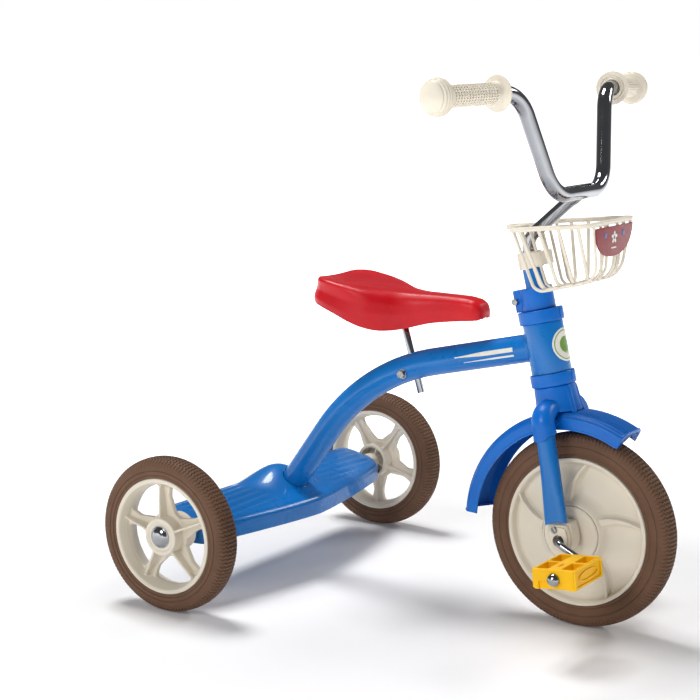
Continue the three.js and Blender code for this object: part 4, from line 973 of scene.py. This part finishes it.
def grip():
    """A rubbery hand grip along +Y: flange, pitted body and grooved knob."""
    outline = [(38, 16.2), (38, 19.4), (38.4, 21), (39.4, 21.6), (40.5, 21.4), (41.4, 19.8), (42, 17.2), (43, 14.6),
               (45, 13.2), (48, 12.8)]
    s, r = [list(column) for column in zip(*outline)]
    sunk = [0] * len(outline)
    for k in range(PIT_ROWS):
        for phase, deep in ((0.0, 0), (0.26, 0), (0.38, 1), (0.74, 1), (0.86, 0)):
            s.append(51 + 4.75 * (k + phase))
            r.append(GRIP_RADIUS)
            sunk.append(deep)
    knob = [(KNOB_START, 12.9), (133.2, 14), (133.9, 16), (135, 18.4), (137, 20.5), (139.6, 21.6), (142.5, 21.8),
            (145.8, 21.5), (148.8, 20.6), (152, 18.8), (154.9, 16), (157.1, 12.4), (158.8, 8), (159.7, 4),
            (GRIP_END, 0.3)]
    knob_s = np.linspace(KNOB_START, GRIP_END, 80)
    knob_r = table(knob, knob_s)[:, 0]
    phases = np.array([0, 0.16, 0.28, 0.5, 0.72, 0.84])
    columns = (np.arange(PITS_ROUND)[:, None] + phases).ravel() * 2 * math.pi / PITS_ROUND
    pit = np.tile([0, 0, 1, 1, 1, 0], PITS_ROUND)
    rings = [ring_about_y(size - PIT_DEPTH * deep * pit, at, columns) for at, size, deep in zip(s, r, sunk)]
    lens = 0.5 + 0.5 * np.cos(2 * columns)
    width = 0.35 + lens ** 0.5
    for at, size in zip(knob_s, knob_r):
        groove = dimple = 0
        for k in range(5):
            line = smooth(1.25 - np.abs(at - 137.6 - 3.5 * k) / width)
            groove = np.maximum(groove, line * smooth((lens - 0.12) / 0.25))
        for aside, spots in ((-0.22, (137.5, 145, 152)), (0.22, (141.8, 149))):
            gap = np.abs((columns - math.pi / 2 - aside + math.pi / 2) % math.pi - math.pi / 2)
            for spot in spots:
                dimple = np.maximum(dimple, smooth(1.4 - np.hypot((at - spot) / 1.9, gap * size / 2.6)))
        rings.append(ring_about_y(size - (1.1 * groove + 1.4 * dimple) * min(1, size / 14), at, columns))
    points, faces = skin(rings, caps=False)
    points = np.vstack([points, rings[-1].mean(0)])
    count = len(columns)
    base = (len(rings) - 1) * count
    faces += [[base + a, base + (a + 1) % count, len(points) - 1] for a in range(count)]
    seat = [(16.2, 38), (15.4, 36.6), (14.6, 38.0), (13.6, 38.2), (12.8, 36.4), (11.6, 35.4), (10.4, 35.6), (9.9, 36.4),
            (9.9, 60)]
    return [(points, faces), skin([ring_about_y(size, at, columns) for size, at in seat])]


def build_handlebar():
    end = lambda sign: mirrored_point(BAR_TOP, sign) + grip_direction(sign) * 120
    corners = [end(-1), mirrored_point(BAR_TOP, -1), mirrored_point(BAR_LOW, -1), BAR_LOW, BAR_TOP, end(1)]
    path = dense(rounded(corners, 44, 20), 6)
    piece("handlebar_tube", [sweep(path, ring_shape(64, BAR_RADIUS))], STEER, "bar", "chrome", ["handlebar"])
    joint = BAR_LOW * np.array([1, 0, 1])
    rise = (joint - STEM_CORNER) / np.linalg.norm(joint - STEM_CORNER)
    path = dense(rounded([(0, 0, 232), STEM_CORNER, joint - rise * 4], 26, 16), 3)
    left = np.linalg.norm(path - path[-1], axis=1)
    flare = STEM_RADIUS + 1.3 * smooth((13 - left) / 6)
    stem = sweep(path, np.array([ring_shape(48, size) for size in flare]), guide=(0, 1, 0))
    piece("stem_tube", [stem], STEER, "bar", "chrome", ["handlebar_stem"])
    shape = grip()
    for side, sign in SIDES:
        along = Vector(grip_direction(sign))
        turn = Vector((0, 1, 0)).rotation_difference(along).to_matrix().to_4x4()
        matrix = STEER @ Matrix.Translation(mirrored_point(BAR_TOP, sign)) @ turn
        piece(f"grip_{side}_moulding", shape, matrix, "bar", "cream_plastic", [f"grip_{side}"], sharp=35)


# ---- basket ----
RIM_REAR, RIM_FRONT, RIM_REAR_W, RIM_FRONT_W = 15.5, 119.7, 384.8, 370.6
FLOOR_REAR, FLOOR_FRONT, FLOOR_W = 23, 101, 304


def rim_point(u, v, drop=0):
    return (u, v, lerp(RIM_REAR_W, RIM_FRONT_W, (u - RIM_REAR) / (RIM_FRONT - RIM_REAR)) - drop)


def build_basket():
    half = [(-19.5, 13.5), (RIM_REAR, 13.5), (RIM_REAR, 71), (RIM_FRONT, 63)]
    corners = [rim_point(u, v) for u, v in half] + [rim_point(u, -v) for u, v in half[::-1]]
    path = dense(rounded(corners, [12, 7, 11, 13, 13, 11, 7, 12], 10, closed=True), 5)[:-1]
    parts = [sweep(path, ring_shape(24, 2.3, 3.0, 3), closed=True)]
    wire = ring_shape(20, 1.75, 2.2, 2.5)
    for share in (-1, -0.63, -0.27, 0.27, 0.63, 1):
        corners = [rim_point(RIM_REAR, share * 58, 1), (FLOOR_REAR, share * 46, FLOOR_W),
                   (FLOOR_FRONT, share * 32, FLOOR_W), rim_point(RIM_FRONT, share * 52, 1)]
        parts.append(sweep(dense(rounded(corners, [0, 13, 26, 0], 10), 6), wire, guide=(0, 1, 0)))
    for share in (0.14, 0.38, 0.62, 0.86):
        top = rim_point(lerp(RIM_REAR, RIM_FRONT, share), lerp(71, 63, share), 1)
        low = (lerp(FLOOR_REAR, FLOOR_FRONT, share), lerp(46, 32, share), FLOOR_W + 1)
        flip = lambda p: (p[0], -p[1], p[2])
        corners = [top, low, flip(low), flip(top)]
        parts.append(sweep(dense(rounded(corners, [0, 16, 16, 0], 10), 6), wire, guide=(1, 0, 0)))
    collar = plate([disc(15.6, 72), disc(12.7, 72)], 333.4, 354, 0.8)
    pad = plate([box(10, 24, -17, 17, 2.5)], 335, 352.5, 1.0)
    bridge = without(pad, rod(12.9, (0, 0, 320), (0, 0, 360), 64))
    piece("basket_frame", parts + [collar, bridge], STEER, "steering", "cream_plastic", ["basket"], sharp=50)
    build_label()


def build_label():
    fall = math.atan2(RIM_FRONT - FLOOR_FRONT, RIM_FRONT_W - FLOOR_W)
    drop = 4.9
    at = (RIM_FRONT - drop * math.tan(fall) + 2.4 / math.cos(fall), 0, RIM_FRONT_W - drop)
    upright = Matrix(((0, 0, 1, 0), (1, 0, 0, 0), (0, 1, 0, 0), (0, 0, 0, 1)))
    matrix = STEER @ Matrix.Translation(at) @ Matrix.Rotation(fall, 4, "Y") @ upright
    shield = np.array([point for point in ring_shape(120, 51, 37, 2.35) if point[1] < 0.01])
    piece("label_shield", [plate([shield], 0, 1.5, 0.4)], matrix, "steering", "label_red", ["basket_label"])
    petal = plate([ring_shape(28, 3.4, 2.1) + np.array([4.6, 0])], 1.4, 1.75, 0.12)
    middle = Matrix.Translation((0, -14, 0))
    flower = [moved(petal, middle @ Matrix.Rotation(math.radians(72 * k + 90), 4, "Z")) for k in range(5)]
    piece("label_flower", flower, matrix, "steering", "label_red", finish="label_trim")
    spots = ((2.3, (0, -14)), (3.4, (-25, -10)), (3.4, (25, -10)))
    dots = [plate([disc(r, 32, centre)], 1.4, 1.8, 0.12) for r, centre in spots]
    piece("label_dots", dots, matrix, "steering", "label_red", finish="label_accent")
    rule = [plate([box(-7, 7, -27.4, -25.6, 0.8, 3)], 1.4, 1.7, 0.12)]
    piece("label_rule", rule, matrix, "steering", "label_red", finish="label_trim")


# ---- saddle ----
SADDLE_ROWS = [
    # x, half-width, top of the edge, top of the middle, lower edge
    (77, 27, 416, 415.5, 393), (79, 38, 418, 416.5, 391), (83, 47, 419.5, 416.5, 388.5), (90, 55, 420, 416, 385.5),
    (105, 61.5, 419.5, 415, 381), (125, 64, 417, 412.5, 374.5), (150, 64, 414.5, 411, 365),
    (168, 60.5, 412, 409.5, 359.5), (185, 51, 409, 408, 356), (202, 38, 405.5, 406.5, 356.5),
    (220, 29, 404, 405.5, 360.5), (245, 23.5, 404, 405.2, 367.5), (275, 21, 404, 405, 372.5),
    (300, 19.6, 402.5, 403.5, 375.5), (310, 17.8, 399.5, 400.8, 376.6), (316, 14, 394.5, 395.5, 378),
    (318.8, 9, 388, 388.5, 380.5),
]


def build_saddle():
    x = np.concatenate([np.linspace(77, 95, 20)[:-1], np.linspace(95, 300, 110)[:-1], np.linspace(300, 318.8, 24)])
    # half a section as shares of the half-width and the height: the rear's, then the nose's
    crisp = rounded([(0, 1), (0.9, 1), (0.97, 0.9), (0.93, 0.55), (1.0, 0.2), (0.96, 0)],
                    [0, 0.12, 0.1, 0.5, 0.3, 0], 8)
    soft = rounded([(0, 1), (0.62, 0.98), (0.93, 0.8), (1.0, 0.42), (0.96, 0)], [0, 0.5, 0.35, 0.5, 0], 8)
    crisp, soft = (evenly(outline, 60) for outline in (crisp, soft))
    rings = []
    for at, (half, edge, middle, low) in zip(x, table(SADDLE_ROWS, x)):
        half = max(half, 3.5)
        across, share = lerp(crisp, soft, float(smooth((at - 110) / 90))).T
        crest = middle + (edge - middle) * across ** 2
        right = np.column_stack([across * half, low + (crest - low) * share])
        wall = min(5, half * 0.4)
        ceiling = max(low + 1.5, middle - 16)
        under = np.array([(half * 0.95 - wall, low + 0.4), (half * 0.9 - wall, ceiling - 2),
                          (half * 0.8 - wall, ceiling)])
        loop = np.vstack([right, under, under[::-1] * (-1, 1), right[:0:-1] * (-1, 1)])
        height = np.clip((loop[:, 1] - low) / (crest.max() - low), 0, 1)
        rings.append(np.column_stack([at + 6.5 * height * float(smooth((118 - at) / 38)), loop]))
    piece("saddle_shell", [skin(rings)], TRIKE, "seat", "red_plastic", ["saddle"], sharp=55)
    foot, head = (223.1, 0, 270.7), (189, 0, 379.6)
    piece("seat_post_tube", [rod(4.8, foot, head, 40, 0.8)], TRIKE, "seat", "chrome", ["seat_post"])
    pad = plate([box(-28, 28, -17, 17, 5)], -1.5, 1.5, 0.5)
    piece("seat_plate_pressing", [pad], TRIKE @ Matrix.Translation((185, 0, 383)), "seat", "zinc_steel", ["seat_plate"])


# ---- stage, light and camera ----
def build_stage():
    """A pale floor that grows bright away from the tricycle, so that no horizon shows."""
    floor = bpy.data.meshes.new("floor")
    half, height = 60, cad_box[0][2]
    corners = [(-half, -half, height), (half, -half, height), (half, half, height), (-half, half, height)]
    floor.from_pydata(corners, [], [(0, 1, 2, 3)])
    ground = bpy.data.objects.new("floor", floor)
    bpy.context.scene.collection.objects.link(ground)
    pale = Finish("floor_white", "F4F4F5", 0.6)
    pale.mottle("F0F0F2", 0.7, 0.4)
    reach = pale.nodes.new("ShaderNodeVectorMath")
    reach.operation = "LENGTH"
    pale.links.new(pale.where, reach.inputs[0])
    pale.shader.inputs["Emission Color"].default_value = (1, 1, 1, 1)
    pale.links.new(pale.spread(reach.outputs["Value"], 0.06, 1.2, 0.42, 1.6), pale.shader.inputs["Emission Strength"])
    floor.materials.append(pale.done())


def soft_light(name, at, target, size, power):
    light = bpy.data.lights.new(name, "AREA")
    light.shape, light.size, light.size_y = "RECTANGLE", size[0], size[1]
    light.energy = power
    lamp = bpy.data.objects.new(name, light)
    lamp.location = at
    lamp.rotation_euler = (Vector(target) - Vector(at)).to_track_quat("-Z", "Y").to_euler()
    bpy.context.scene.collection.objects.link(lamp)


def build_light():
    """One key light from above and two weaker ones; the sky is bright only at the horizon."""
    bpy.context.scene.view_settings.view_transform = "Standard"
    soft_light("key", (-1.7, 0.5, 4.8), (0, 0, 0.2), (1.6, 1.6), 190)
    soft_light("front", (-0.6, -4.2, 2.6), (0, 0, 0.3), (1.6, 2.0), 78)
    soft_light("back", (2.6, 3.4, 3.2), (0, 0, 0.3), (2.0, 1.0), 70)
    world = bpy.data.worlds.new("studio")
    bpy.context.scene.world = world
    world.use_nodes = True
    nodes, links = world.node_tree.nodes, world.node_tree.links
    where = nodes.new("ShaderNodeTexCoord")
    split = nodes.new("ShaderNodeSeparateXYZ")
    ramp = nodes.new("ShaderNodeValToRGB")
    links.new(where.outputs["Generated"], split.inputs[0])
    links.new(split.outputs["Z"], ramp.inputs[0])
    links.new(ramp.outputs[0], nodes["Background"].inputs[0])
    stops = [(0.0, 1.0), (0.035, 1.0), (0.12, 0.16), (0.6, 0.12)]
    while len(ramp.color_ramp.elements) < len(stops):
        ramp.color_ramp.elements.new(0.5)
    for element, (place, level) in zip(ramp.color_ramp.elements, stops):
        element.position = place
        element.color = (level, level, level, 1)


CAMERA_AT, CAMERA_TURN, LENS = (1.13921, -1.91636, 0.73077), (33.57, 10.23, 0.36), 89.26    # metres, degrees, mm


def build_camera():
    yaw, pitch, roll = (math.radians(angle) for angle in CAMERA_TURN)
    ahead = Vector((-math.sin(yaw) * math.cos(pitch), math.cos(yaw) * math.cos(pitch), -math.sin(pitch)))
    level = Vector((math.cos(yaw), math.sin(yaw), 0))
    upright = level.cross(ahead)
    right = level * math.cos(roll) + upright * math.sin(roll)
    up = right.cross(ahead)
    camera = bpy.data.cameras.new("camera")
    camera.lens, camera.sensor_width = LENS, 36
    camera.clip_end = 200
    holder = bpy.data.objects.new("camera", camera)
    holder.matrix_world = Matrix.Translation(CAMERA_AT) @ Matrix((right, up, -ahead)).transposed().to_4x4()
    bpy.context.scene.collection.objects.link(holder)
    bpy.context.scene.camera = holder


build_camera()
build_light()
build_stage()
build_backbone()
build_head()
build_seat_bolt()
build_deck()
build_rear_wheels()
build_front_wheel()
build_pedals()
build_fork()
build_mudguard()
build_clamp()
build_handlebar()
build_basket()
build_saddle()
